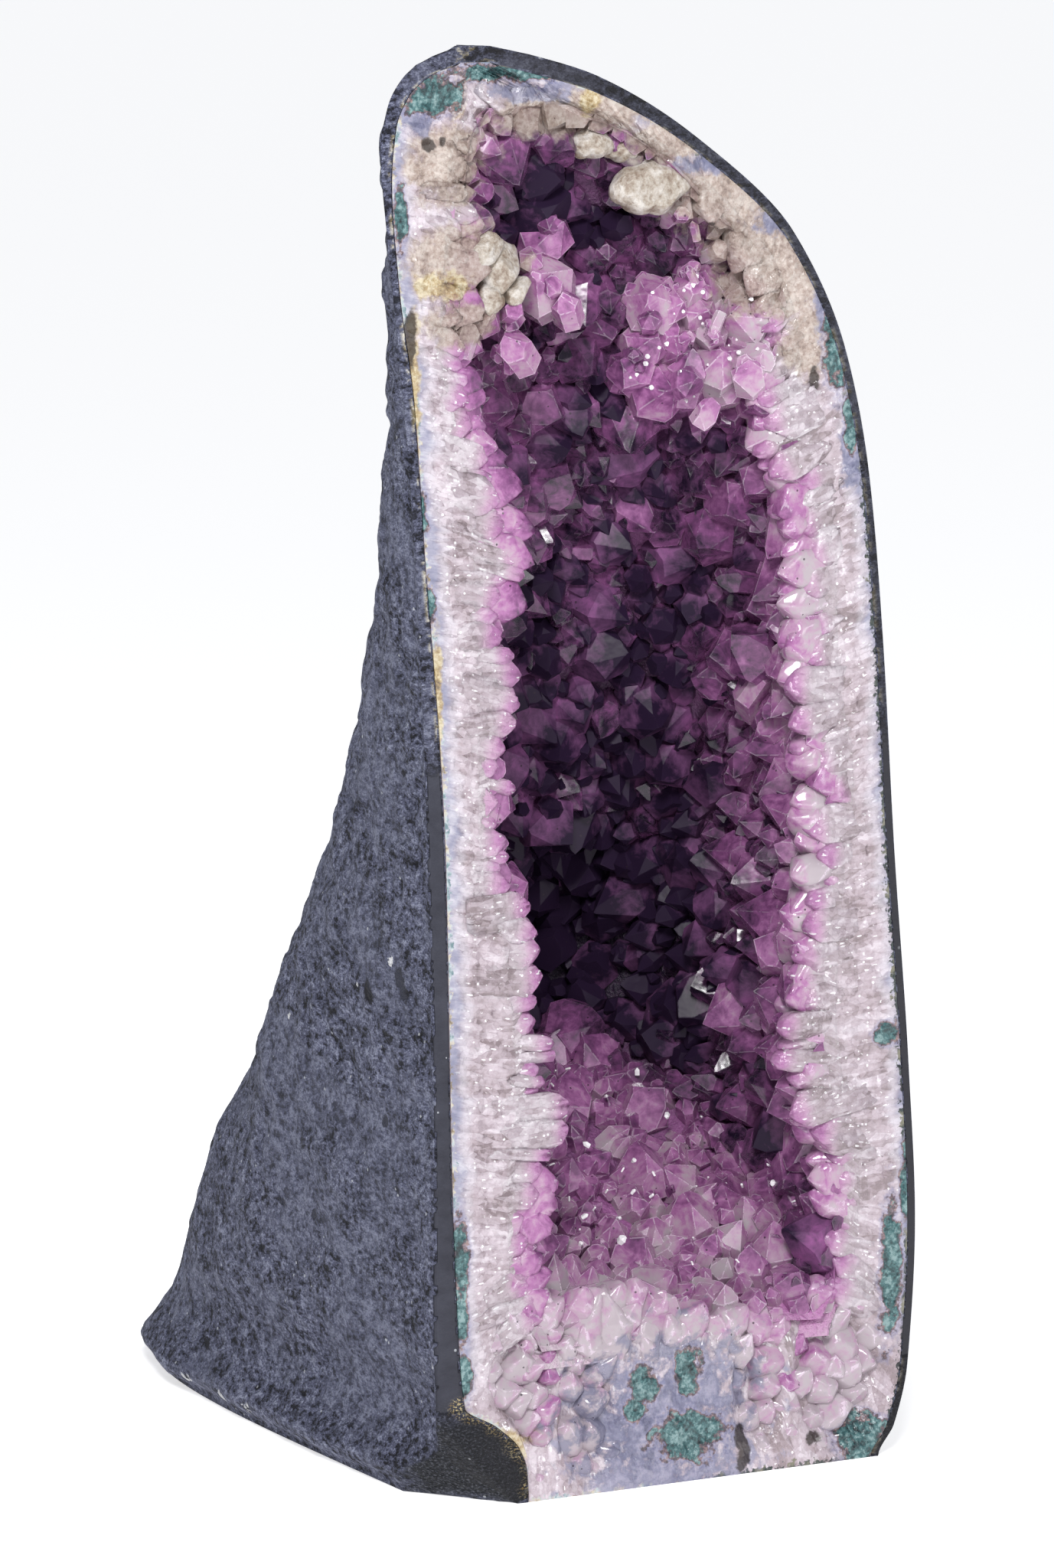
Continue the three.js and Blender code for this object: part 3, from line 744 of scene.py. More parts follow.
def with_patches(nodes, place_at, color):
    """Colour with the patches, which come from the piece's attributes of the same names."""
    inputs = {name.capitalize(): nodes.attribute(name) for name in PATCHES}
    return nodes.group(mineral_patches, {"Color": color, "Place": place_at, **inputs})["Color"]


# Cement coat and foot
def past_corner(points):
    """How far points lie past the plane that trims the foot's front left corner, and its normal."""
    a, b, c = CORNER_TRIM
    normal = np.cross(b - a, c - a)
    normal = normal / np.linalg.norm(normal)
    if normal[2] > 0:
        normal = -normal
    return (points - a) @ normal, normal


def trimmed(points):
    past, normal = past_corner(points)
    return points - np.maximum(past, 0)[..., None] * normal


def cement_surface(turns, heights):
    """The outside of the cement with its lumps, hollows and pits."""
    z, turn = np.meshgrid(heights, turns, indexing="ij")
    grid = wall_point("outside", z, turn)
    normal = normals_of(grid)
    fade = smooth_step(np.sin(turn), 0.0, 0.04) * smooth_step(z, 0, 6) * smooth_step(HEIGHT - z, 0, 3)
    lumps = 1.3 * noise(grid, 34, 1) + 0.8 * noise(grid, 15, 2)
    pits = smooth_step(noise(grid, 8, 4), 0.3, 0.9)
    small = 1.0 * noise(grid, 6, 3) + 0.5 * noise(grid, 3.4, 5) - 1.3 * pits
    waist = 6.0 * np.exp(-((z - 29) / 15) ** 2) - 2.5 * np.exp(-((z - 7) / 6) ** 2)
    heel = waist * smooth_step(turn, 1.5, 2.0)
    out = (lumps + small * (0.5 + 0.5 * smooth_step(z, 60, 150)) - 1.2 - heel) * fade
    return grid + normal * out[..., None]


def between(edge, other, steps):
    share = np.linspace(0, 1, steps)[None, :, None]
    return edge[:, None] * (1 - share) + other[:, None] * share


def chord(row):
    """The straight line between a row's ends, with as many points as the row."""
    share = np.linspace(0, 1, len(row))[:, None]
    return row[0] * (1 - share) + row[-1] * share


def cement_coat():
    turns = np.linspace(0, math.pi, CEMENT_COLUMNS)
    shares = np.linspace(0, 1, CEMENT_ROWS)
    outer = cement_surface(turns, shares * SHAPE_ENDS["outside"][1])
    heights = shares * SHAPE_ENDS["skin"][1]
    inner = wall_point("skin", heights[:, None], np.linspace(0, math.pi, INSIDE_COLUMNS), GAP)
    floor_line, top_line = (wall_point("skin", z, turns, GAP) for z in SHAPE_ENDS["skin"])
    fronts = [between(outer[:, 0], inner[:, 0], BAND_STEPS),
              between(outer[:, -1], inner[:, -1], BAND_STEPS),
              between(chord(outer[-1]), chord(top_line), BAND_STEPS)]
    hidden = [inner, between(outer[0], floor_line, BAND_STEPS),
              between(outer[-1], chord(outer[-1]), CAP_STEPS),
              between(top_line, chord(top_line), CAP_STEPS)]
    points, faces = joined_grids([outer] + fronts + hidden)
    at_front = np.zeros(len(points))
    first, last = outer[..., 0].size, outer[..., 0].size + sum(front[..., 0].size for front in fronts)
    at_front[first:last] = 1
    strip = at_front * (1 - smooth_step(points[:, 2], SMOOTH_STRIP_TOP - 25, SMOOTH_STRIP_TOP + 15))
    low_front = at_front * (34 - points[:, 2])
    corner = np.maximum(past_corner(points)[0], low_front - 4 * (1 - at_front) - 2)
    values = {"flat_strip": strip * (1 - smooth_step(corner, -2, 2)), "at_front": at_front,
              "corner": corner, "to_skin": at_front * from_skin(points),
              "gold": near_path(points, GOLD_EDGE, 5), "chips": near_spots(points, PAINT_CHIPS),
              "holes": near_spots(points, PAINT_HOLES)}
    piece = make_piece("cement_coat", trimmed(points), faces, "painted_cement", values, weld=0.02)
    piece.data.materials.append(cement_material())
    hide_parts("cement_back")
    return piece


def near_path(points, path, reach):
    """1 on a path over the sawn face, 0 at the given reach from it and less beyond."""
    flat = points[:, [0, 2]]
    nearest = np.full(len(points), np.inf)
    for start, end in zip(path[:-1], path[1:]):
        share = np.clip((flat - start) @ (end - start) / ((end - start) @ (end - start)), 0, 1)
        nearest = np.minimum(nearest, np.linalg.norm(flat - start - share[:, None] * (end - start), axis=1))
    return 1 - nearest / reach - smooth_step(points[:, 1], 4, 20)


def near_spots(points, spots):
    value = np.full(len(points), -1.0)
    for x, y, z, size in spots:
        value = np.maximum(value, 1 - np.linalg.norm(points - (x, y, z), axis=1) / size)
    return value


def from_skin(points):
    """How far points of the front lie outside the skin's outline (less than 0 inside it)."""
    z = points[:, 2]
    return np.maximum(along(SKIN["left"], z) - points[:, 0], points[:, 0] - along(SKIN["right"], z))


def cement_paint(nodes, grains):
    """Colour of the paint, with the masks of its holes and of its smoother parts. Pits and holes are painted
    dark, as painted shade in them.
    """
    broad, coarse, fine, grit = grains
    color = nodes.ramp(nodes.weighed((coarse, 0.26), (broad, 0.12), (fine, 0.36), (grit, 0.26)), CEMENT_STOPS)
    pits = nodes.rest(nodes.step(nodes.weighed((coarse, 0.4), start=fine), 0.57, 0.64))
    holes = nodes.step(nodes.weighed((fine, 1.2), start=nodes.attribute("holes")), 0.75, 0.95)
    # Painted shade: pits and holes are coloured dark
    color = nodes.mix(nodes.math("MAXIMUM", nodes.times(pits, 0.85), holes), color, PIT_SHADE)
    smoother = nodes.step(nodes.weighed((coarse, 0.4), start=broad), 0.66, 0.80)
    return nodes.mix(nodes.times(smoother, 0.5), color, SMOOTH_PAINT), holes, smoother


def bare_and_shaded_corner(nodes, grains, color):
    """Gritty dark cement at the foot's trimmed corner, its darkness partly painted shade of the corner that
    faces down, with gold grains along the quartz.
    """
    _, coarse, fine, grit = grains
    # Partly painted shade: the corner is coloured dark
    bare_and_shaded = nodes.step(nodes.weighed((coarse, 14.0), start=nodes.attribute("corner")), 2.0, 13.0)
    color = nodes.mix(bare_and_shaded, color, nodes.ramp(grit, BARE_CORNER_AND_SHADE_STOPS))
    gold_at = nodes.weighed((coarse, 1.6), start=nodes.attribute("gold"))
    gold = nodes.times(nodes.step(gold_at, 0.95, 1.5), nodes.step(grit, 0.51, 0.56))
    return nodes.mix(gold, color, nodes.ramp(fine, GOLD_STOPS))


def chips_and_flakes(nodes, grains, color, place_at, strip):
    """White dots and chips all over, pale flakes on the front beside the stone, and a darker right
    front."""
    _, coarse, fine, _ = grains
    dots = specks(nodes, place_at, 330.0, 0.17, 0.05)
    color = nodes.mix(nodes.times(dots, 0.7), color, WHITE_DOT)
    chips_at = nodes.weighed((fine, 1.2), start=nodes.attribute("chips"))
    color = nodes.mix(nodes.step(chips_at, 1.05, 1.15), color, WHITE_PAINT)
    at_front = nodes.attribute("at_front")
    beside_stone = nodes.rest(nodes.step(nodes.attribute("to_skin"), 0.4, 2.2))
    flakes = nodes.times(nodes.step(at_front, 0.6, 1.0), beside_stone, nodes.step(coarse, 0.48, 0.54),
                         nodes.rest(strip))
    color = nodes.mix(flakes, color, nodes.ramp(fine, FLAKE_STOPS))
    right_front = nodes.times(nodes.step(nodes.axis(place_at, "X"), -0.10, -0.04), at_front)
    return nodes.mix(nodes.times(right_front, 0.75), color, DARK_FRONT)


def cement_material():
    """Rough paint over sandy cement: pits darkened with painted shade, pale worn grains, a smooth strip
    on the front, and a bare gritty corner at the foot, darker partly with painted shade."""
    material, nodes, shader = new_material("painted_cement")
    place_at = nodes.place()
    flatter = nodes.vector("MULTIPLY", place_at, (1.0, 1.0, 1.6))
    grains = [nodes.noise(flatter, *grain) for grain in CEMENT_GRAINS]
    _, coarse, fine, grit = grains
    color, holes, smoother = cement_paint(nodes, grains)
    strip = nodes.step(nodes.weighed((coarse, 0.5), start=nodes.attribute("flat_strip")), 0.55, 1.0)
    color = nodes.mix(strip, color, nodes.ramp(nodes.weighed((coarse, 0.75), (grit, 0.25)), STRIP_STOPS))
    color = bare_and_shaded_corner(nodes, grains, color)
    color = chips_and_flakes(nodes, grains, color, place_at, strip)
    nodes.feed(shader.inputs["Base Color"], color)
    nodes.feed(shader.inputs["Roughness"], nodes.weighed((strip, -0.2), start=0.78))
    set_plain(shader, {"Specular IOR Level": 0.3})
    height = nodes.weighed((coarse, 0.7), (fine, 0.5), (holes, -0.3), (grit, 0.06))
    calm = nodes.math("MAXIMUM", nodes.times(strip, 0.94), nodes.times(smoother, 0.5))
    nodes.feed(shader.inputs["Normal"], nodes.bump(nodes.times(height, nodes.rest(calm)), 0.0105))
    return material


# Sawn wall of agate and quartz
def lining_heights(hollow_heights):
    low, high = SHAPE_ENDS["hollow"]
    lining_low, lining_high = SHAPE_ENDS["lining"]
    return lining_low + (hollow_heights - low) / (high - low) * (lining_high - lining_low)


def outline(name, heights_right, heights_left):
    """A shape's outline on the sawn face: up the right side, over the top, down the left side and
    back along the bottom, as points with Y at 0."""
    right = wall_point(name, heights_right, np.zeros(len(heights_right)))
    left = wall_point(name, heights_left[::-1], np.full(len(heights_left), math.pi))
    top = np.linspace(right[-1], left[0], TOP_STEPS + 1)[1:-1]
    bottom = np.linspace(left[-1], right[0], BOTTOM_STEPS + 1)[1:]
    loop = np.concatenate([right, top, left, bottom])
    loop[:, 1] = 0
    return loop


def matched(heights, pairs):
    skin_levels, hollow_levels = np.array(pairs, float).T
    return np.interp(heights, skin_levels, hollow_levels)


def arc_lengths(loop):
    steps = np.linalg.norm(np.diff(loop, axis=0), axis=1)
    return np.concatenate([[0], np.cumsum(steps)])


class Rim:
    """The sawn rim: the outlines of skin, hollow and lining, which go round it point for point, and
    the columns of quartz that cross it."""

    def __init__(self):
        self.heights = np.linspace(*SHAPE_ENDS["skin"], SIDE_STEPS)
        self.right = matched(self.heights, MATCH_RIGHT)
        self.left = matched(self.heights, MATCH_LEFT)
        self.skin = outline("skin", self.heights, self.heights)
        self.hollow = outline("hollow", self.right, self.left)
        self.lining = outline("lining", lining_heights(self.right), lining_heights(self.left))
        self.lengths = arc_lengths(self.lining)
        across = self.lining - self.skin
        self.width = np.linalg.norm(across, axis=1)
        self.inward = across / np.maximum(self.width[:, None], 1e-6)
        left_start = SIDE_STEPS + TOP_STEPS - 1
        self.side_ends = self.lengths[[SIDE_STEPS - 1, left_start, left_start + SIDE_STEPS - 1]]
        z = self.lining[:, 2]
        on_left = self.lengths > self.side_ends[0]
        self.reach = np.where(on_left, along(REACH_LEFT, z), along(REACH_RIGHT, z))
        self.borders = [0.0]
        while self.borders[-1] < self.lengths[-1]:
            on_right = self.borders[-1] < self.side_ends[0]
            widths = COLUMN_WIDTHS_RIGHT if on_right else COLUMN_WIDTHS_LEFT
            self.borders.append(self.borders[-1] + generator.uniform(*widths))
        self.shades = generator.uniform(0, 1, len(self.borders))

    def at(self, length, values):
        return np.array([np.interp(length, self.lengths, values[:, k]) for k in range(3)])

    def columns(self):
        """For each point of the rim, how far it is from its column's middle (0) to its edge (1),
        and its column's shade."""
        borders = np.array(self.borders)
        i = np.clip(np.searchsorted(borders, self.lengths, side="right") - 1, 0, len(borders) - 2)
        middle, half = (borders[i] + borders[i + 1]) / 2, (borders[i + 1] - borders[i]) / 2
        return np.abs(self.lengths - middle) / half, self.shades[i]


def rim_relief(points, inward, length):
    """How far the broken, columnar quartz of the rim lies behind the saw cut."""
    columns = noise(np.stack([length / 2.4, inward / 6, 0 * length], -1), 1, 11)
    grain = noise(points, 1.8, 12)
    holes = smooth_step(noise(points, 3.6, 13), 0.55, 0.95)
    strength = smooth_step(inward, 3.0, 7.0)
    sunk = 4.8 * smooth_step(patch_value(points, SUNK_PLACES), 0, 0.6)
    behind_columns = 0.9 * smooth_step(inward, 8, 13)
    return strength * (0.2 + 0.16 * columns + 0.14 * grain + 1.0 * holes + sunk) + behind_columns


def rim_band(rim, outer, inner, steps):
    """Grid of the sawn face from one outline to the next, with the values its points carry."""
    grid = between(outer, inner, steps)
    inward = np.linalg.norm(grid - rim.skin[:, None], axis=-1)
    length = np.broadcast_to(rim.lengths[:, None], inward.shape)
    across, shade = (np.broadcast_to(value[:, None], inward.shape) for value in rim.columns())
    below = rim.width[:, None] + rim.reach[:, None] - inward
    seams = 0.25 * smooth_step(across, 0.86, 1.0) * smooth_step(inward, 4, 9)
    relief = rim_relief(grid, inward, length) + seams
    values = {"inward": inward, "length": length, "across": across, "shade": shade, "below": below}
    return grid, relief, values


def hidden_wall(name, loop_heights_right, loop_heights_left, turns_count, grow=0.0):
    """A shape's wall behind the sawn face, row by row from the right outline to the left."""
    turns = np.linspace(0, math.pi, turns_count)
    share = turns / math.pi
    heights = loop_heights_right[:, None] * (1 - share) + loop_heights_left[:, None] * share
    return wall_point(name, heights, np.broadcast_to(turns, heights.shape), grow)


def stitched(wall, band_edge):
    """A hidden wall with its first and last columns moved onto the band's edge."""
    wall[:, 0] = band_edge[:SIDE_STEPS]
    wall[:, -1] = band_edge[SIDE_STEPS + TOP_STEPS - 1:2 * SIDE_STEPS + TOP_STEPS - 1][::-1]
    return wall


def end_caps(wall):
    """Flat caps over a wall's lowest and highest rows."""
    return [between(chord(row), row, 2) for row in (wall[0], wall[-1])]


def band_values(points, values):
    """A piece's attributes: the band's values on the band's points, which come first, plain values
    on the others, and patches on all."""
    plain = {"inward": 20.0, "length": 0.0, "across": 0.0, "shade": 0.5, "below": 12.0}
    out = {"edge": np.full(len(points), 5.0)}
    for name, value in values.items():
        out[name] = np.full(len(points), plain[name])
        out[name][:value.size] = value.ravel()
    out.update(patch_values(points))
    return out


def sawn_wall(rim, material):
    band, relief, values = rim_band(rim, rim.skin, rim.hollow, RIM_STEPS)
    band[..., 1] = relief
    skin = hidden_wall("skin", rim.heights, rim.heights, SKIN_COLUMNS)
    hollow = stitched(hidden_wall("hollow", rim.right, rim.left, HOLLOW_COLUMNS), band[:, -1])
    points, faces = joined_grids([band, skin, hollow] + end_caps(skin) + end_caps(hollow))
    piece = make_piece("sawn_wall", trimmed(points), faces, "agate", band_values(points, values))
    piece.data.materials.append(material)
    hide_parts("geode_wall")
    return piece


def faceted(nodes, vector, scale):
    return nodes.group(facets, {"Place": vector, "Scale": scale})


def purple_tips(nodes, color, cloud, streaks, height_at):
    """Colour that turns purple towards the tips, except near the top, and the mask of the purple."""
    ragged = nodes.weighed((streaks, 3.0), (cloud, 9.0), start=-6.0)
    near_tip = nodes.rest(nodes.step(nodes.math("ADD", nodes.attribute("below"), ragged), -1.0, 15.0))
    purple = nodes.times(near_tip, nodes.rest(nodes.step(height_at, 0.395, 0.42)))
    tone = nodes.weighed((purple, 0.5), (cloud, 0.9), start=-0.45)
    tinted = nodes.times(nodes.step(purple, 0.0, 0.6), 0.92)
    return nodes.mix(tinted, color, nodes.ramp(tone, AMETHYST_STOPS)), purple


def worn_and_glinting(nodes, color, grain, purple, place_at, columns_at):
    """Pale edges, partly wear and partly painted highlight, and specks and dashes of painted white glint."""
    worn_and_lit = nodes.times(nodes.rest(nodes.step(nodes.attribute("edge"), 0.05, 0.8)),
                       nodes.weighed((nodes.step(grain, 0.42, 0.56), 0.6), start=0.25),
                       nodes.weighed((purple, -0.7), start=0.8))
    color = nodes.mix(worn_and_lit, color, WORN_AND_LIT_QUARTZ)
    # Painted glints: white dots, and short dashes along the columns
    dots = specks(nodes, place_at, 640.0, 0.30, 0.14)
    glint_dashes = specks(nodes, columns_at, 0.8, 0.24, 0.30)
    glint_mask = nodes.times(nodes.math("MAXIMUM", dots, glint_dashes), nodes.step(grain, 0.44, 0.52), 0.85)
    return nodes.mix(glint_mask, color, PAINTED_GLINT)


def agate_band(nodes, color, cloud, streaks, on_right, height_at):
    """Colour with the agate along the skin, which comes and goes and fades into the quartz, and the
    mask of the agate."""
    inward, length = nodes.attribute("inward"), nodes.attribute("length")
    swell = nodes.noise(nodes.combined(nodes.times(length, 0.05), 0.0, 0.0), 1.0, 4, 0.7)
    edge = nodes.weighed((swell, 22.0), (on_right, -2.5), (cloud, 2.4), start=-7.5)
    past_edge = nodes.math("SUBTRACT", inward, edge)
    above_foot = nodes.step(height_at, 0.032, 0.05)
    white_line = nodes.times(nodes.step(past_edge, -1.5, 1.0), nodes.rest(nodes.step(past_edge, 1.0, 4.5)),
                             above_foot, 0.5)
    color = nodes.mix(white_line, color, WHITE_LINE)
    in_agate = nodes.times(above_foot, nodes.rest(nodes.step(past_edge, -2.5, 1.5)))
    agate = nodes.ramp(nodes.weighed((cloud, 0.65), (streaks, 0.35)), AGATE_STOPS)
    return nodes.mix(in_agate, color, agate), in_agate


def weathered_skin(nodes, color, cloud, grain, on_right):
    """Colour with the weathered skin against the cement: teal and cream on the left, dark on the
    right."""
    crumbly = nodes.weighed((cloud, -5.0), (grain, -8.0), start=6.4)
    weathered = nodes.rest(nodes.step(nodes.math("ADD", nodes.attribute("inward"), crumbly), 0.2, 1.2))
    skin = nodes.mix(on_right, nodes.ramp(cloud, LEFT_SKIN_STOPS), nodes.ramp(cloud, RIGHT_SKIN_STOPS))
    return nodes.mix(weathered, color, skin)


def quartz_material(name, transmission):
    """Sawn quartz: an agate band along the skin, then milky columns in broken grains and streaks, one
    column a little darker than the next, which turn purple at their tips."""
    material, nodes, shader = new_material(name)
    place_at = nodes.place()
    height_at = nodes.axis(place_at, "Z")
    on_right = nodes.step(nodes.axis(place_at, "X"), 0.0, 0.02)
    cloud = nodes.noise(place_at, 130, 4, 0.6)
    grain = nodes.noise(place_at, 620, 3, 0.6)
    columns_at = nodes.combined(nodes.attribute("length"), nodes.times(nodes.attribute("inward"), 0.25),
                                nodes.times(cloud, 1.5))
    streaks = nodes.noise(columns_at, 0.55, 3, 0.6)
    small = faceted(nodes, place_at, 560.0)
    splinters = faceted(nodes, columns_at, 0.55)

    # Partly painted light: the facets' Shade lightens or darkens each small grain by its tilt
    shade = nodes.weighed((cloud, 0.24), (streaks, 0.22), (grain, 0.14), (nodes.attribute("shade"), 0.10),
                          (small["Shade"], 0.07), (splinters["Shade"], 0.13), start=0.05)
    color, purple = purple_tips(nodes, nodes.ramp(shade, QUARTZ_STOPS), cloud, streaks, height_at)
    color = worn_and_glinting(nodes, color, grain, purple, place_at, columns_at)
    color, in_agate = agate_band(nodes, color, cloud, streaks, on_right, height_at)
    color = weathered_skin(nodes, color, cloud, grain, on_right)
    nodes.feed(shader.inputs["Base Color"], with_patches(nodes, place_at, color))

    set_plain(shader, {"Roughness": 0.2, "IOR": QUARTZ_IOR, "Transmission Weight": transmission})
    let_light_in(shader, 0.2, (0.004, 0.0034, 0.0038))
    height = nodes.weighed((small["Height"], 0.45), (splinters["Height"], 0.0009), (grain, 0.0004))
    height = nodes.times(height, nodes.rest(nodes.times(in_agate, 0.85)))
    nodes.feed(shader.inputs["Normal"], nodes.bump(height, 1.0))
    return material


# Crust and crystals
def crust_base(rim, rim_material):
    """The massive foot of the crust, which the crystals stand on."""
    band, relief, values = rim_band(rim, rim.hollow, rim.lining, CRUST_RIM_STEPS)
    band[..., 1] = relief + 2.5 * np.linspace(0, 1, CRUST_RIM_STEPS) ** 2
    inside = hidden_wall("lining", lining_heights(rim.right), lining_heights(rim.left), LINING_COLUMNS)
    lumps = 1.0 * noise(inside, 12, 21) + 0.6 * noise(inside, 5, 22)
    inside = stitched(inside + normals_of(inside) * lumps[..., None], band[:, -1])
    behind = stitched(hidden_wall("hollow", rim.right, rim.left, HOLLOW_COLUMNS, -GAP), band[:, 0])
    points, faces = joined_grids([band, inside, behind] + end_caps(inside) + end_caps(behind))
    attributes = band_values(points, values)
    attributes["tone"] = tone_at(points)
    attributes["tone"][:band[..., 0].size] = 0
    attributes["below"][:band[..., 0].size] = 12
    piece = make_piece("crust_base", points, faces, "amethyst", attributes)
    piece.data.materials.append(rim_material)
    piece.data.materials.append(crust_material())
    of_band = (band.shape[0] - 1) * (band.shape[1] - 1)
    piece.data.polygons.foreach_set("material_index", [0] * of_band + [1] * (len(faces) - of_band))
    return piece


def tone_at(points, up=0.0):
    """How purple the quartz is, from 0 (white) at the saw cut to 1 (darkest) deep in the hollow: partly the
    crust's own colour and partly painted shade of the hollow. Crystals of the floor, which point up, are
    paler than those of the walls, and those on the right wall paler too: painted light where it falls."""
    depth = np.maximum(points[..., 1], 0)
    z = points[..., 2]
    # Painted light: crystals on the right wall, where the key light falls, are made paler
    depth = depth - 8 * smooth_step(points[..., 0], 20, 50)
    # Darker with depth, partly the crystals' own colour and partly painted shade of the hollow
    tone = 0.31 + 0.30 * smooth_step(depth, 2, 26) + 0.17 * smooth_step(depth, 22, 80)
    # Painted light: floor crystals that point up are paler, as light falls from above
    floor = smooth_step(up, 0.2, 0.75) * (1 - smooth_step(z, 105, 145))
    front = 1 - smooth_step(z, 64, 88)
    tone = tone * (1 - 0.5 * floor) - 0.14 * front
    # Some spots paint the shade deep in the hollow, others lighter or darker colour
    for x, y, z_at, wide, more in TONE_AND_SHADE_SPOTS:
        away = np.linalg.norm(points - (x, y, z_at), axis=-1)
        tone = tone + more * np.exp(-(away / wide) ** 2)
    return np.clip(tone + 0.14 * noise(points, 34, 31) + 0.1 * noise(points, 12, 32), 0, 1)


def crust_material():
    material, nodes, shader = new_material("crust")
    place_at = nodes.place()
    grain = nodes.noise(place_at, 500, 4, 0.6)
    tone = nodes.math("ADD", nodes.attribute("tone"), nodes.weighed((grain, 0.3), start=-0.15))
    color = with_patches(nodes, place_at, nodes.ramp(tone, AMETHYST_STOPS))
    nodes.feed(shader.inputs["Base Color"], color)
    set_plain(shader, {"Roughness": 0.4})
    nodes.feed(shader.inputs["Normal"], nodes.bump(grain, 0.002))
    return material


def pale_edges(nodes, color, tone, zones):
    """Colour with pale edges on the lighter crystals, partly chips and wear and partly painted highlight, and
    the mask of these edges.
    """
    along_edges = nodes.rest(nodes.step(nodes.attribute("edge"), 0.05, 0.5))
    # Partly painted highlight along the crystals' edges
    chipped_and_lit = nodes.times(along_edges, nodes.weighed((nodes.step(zones, 0.46, 0.56), 0.85), start=0.15))
    paleness = nodes.math("SUBTRACT", 1.05, nodes.times(tone, 1.5), clamp=True)
    pale = nodes.mix(0.75, color, WORN_AND_LIT_AMETHYST)
    return nodes.mix(nodes.times(chipped_and_lit, paleness), color, pale), chipped_and_lit


def crystal_material(name, transmission, density, absorbed, shine=0.4, veil_and_reflection=1.0, tip=0.26):
    """Clear quartz: more purple towards the tip, with veils inside that are partly colour zoning and
    partly painted inner reflections, pale edges partly of wear and partly of painted highlight, and a
    few dark specks. veil_and_reflection is how strong the veils are, and tip how much darker the tip is."""
    material, nodes, shader = new_material(name)
    place_at = nodes.place()
    # Veils, partly colour zoning and partly painted inner reflections
    veils_and_reflections = nodes.noise(place_at, 170, 4, 0.62, 0.8)
    zones = nodes.noise(place_at, 420, 3, 0.6)
    to_tip = nodes.rest(nodes.step(nodes.attribute("below"), 0.5, 10.0))
    tone = nodes.attribute("tone")
    clear_tone = nodes.math("SUBTRACT", tone, VEIL_AND_REFLECTION_MIDDLE * veil_and_reflection)
    tone_with_veils_and_reflections = nodes.weighed((veils_and_reflections, veil_and_reflection), (zones, 0.5 * veil_and_reflection), (to_tip, tip), start=clear_tone)
    color, chipped_and_lit = pale_edges(nodes, nodes.ramp(tone_with_veils_and_reflections, AMETHYST_STOPS), tone, zones)
    color = with_patches(nodes, place_at, color)
    dark = specks(nodes, place_at, 420.0, 0.16, 0.12)
    nodes.feed(shader.inputs["Base Color"], nodes.mix(nodes.times(dark, 0.8), color, DARK_SPECK))
    nodes.feed(shader.inputs["Roughness"], nodes.weighed((chipped_and_lit, 0.25), start=0.45 - 0.8 * shine))
    set_plain(shader, {"Specular IOR Level": shine, "IOR": QUARTZ_IOR, "Transmission Weight": transmission})
    absorption = nodes.add("ShaderNodeVolumeAbsorption", {"Color": (*absorbed, 1), "Density": density})
    output = material.node_tree.nodes["Material Output"]
    nodes.feed(output.inputs["Volume"], absorption.outputs["Volume"])
    growth = nodes.noise(place_at, 210, 2, 0.4)
    nodes.feed(shader.inputs["Normal"], nodes.bump(growth, 0.00018))
    return material


def druse_and_glint_material():
    material, _, shader = new_material("white_druse_and_glints")
    set_plain(shader, {"Base Color": DRUSE_AND_GLINT_WHITE, "Roughness": 0.1})
    return material


def polyhedron(normals, distances):
    """Corners and faces of the convex solid whose points p have n . p <= d for every plane."""
    triples = np.array(list(itertools.combinations(range(len(normals)), 3)))
    matrices = normals[triples]
    usable = np.abs(np.linalg.det(matrices)) > 1e-4
    triples, matrices = triples[usable], matrices[usable]
    corners = np.linalg.solve(matrices, distances[triples][..., None])[..., 0]
    corners = corners[(corners @ normals.T <= distances + 1e-6).all(axis=1)]
    corners = np.unique(np.round(corners, 5), axis=0)
    faces = []
    for normal, distance in zip(normals, distances):
        on_plane = np.flatnonzero(np.abs(corners @ normal - distance) < 1e-4)
        if len(on_plane) < 3:
            continue
        spokes = corners[on_plane] - corners[on_plane].mean(axis=0)
        side = spokes[0] / np.linalg.norm(spokes[0])
        other = np.cross(normal, side)
        order = np.argsort(np.arctan2(spokes @ other, spokes @ side))
        faces.append(on_plane[order])
    return corners, faces


def crystal_planes(radius, height, root, widen):
    """Planes of one quartz crystal on end: six sides, six end faces of which every other one is
    the larger, and the cut at its root."""
    turn = np.arange(6) * math.pi / 3
    sides = np.stack([np.cos(turn), np.sin(turn), np.full(6, -widen)], axis=1)
    slope = FACE_SLOPE + generator.normal(0, 0.03)
    ends = np.stack([np.cos(turn) * math.sin(slope), np.sin(turn) * math.sin(slope),
                     np.full(6, math.cos(slope))], axis=1)
    smaller = np.array([0.0, 1.0] * 3)
    shift = generator.uniform(-0.12, 0.06, 6) + smaller * generator.uniform(0.0, 0.35)
    distances = [radius * generator.uniform(0.84, 1.12, 6), height * math.cos(slope) + shift * radius * 0.6,
                 np.array([root])]
    normals = np.concatenate([sides, ends, [[0, 0, -1.0]]])
    return normals / np.linalg.norm(normals, axis=1, keepdims=True), np.concatenate(distances)


def crystal_frame(axis, side=None):
    """Directions of a crystal's own X, Y and Z, with Z along its axis, as columns. Without a side the
    crystal is spun at random."""
    axis = axis / np.linalg.norm(axis)
    if side is None:
        spin = generator.uniform(0, math.tau)
        side = np.array([math.cos(spin), math.sin(spin), 0.3])
    side = np.cross(np.cross(axis, side), axis)
    side = side / np.linalg.norm(side)
    return np.stack([side, np.cross(axis, side), axis], axis=1)


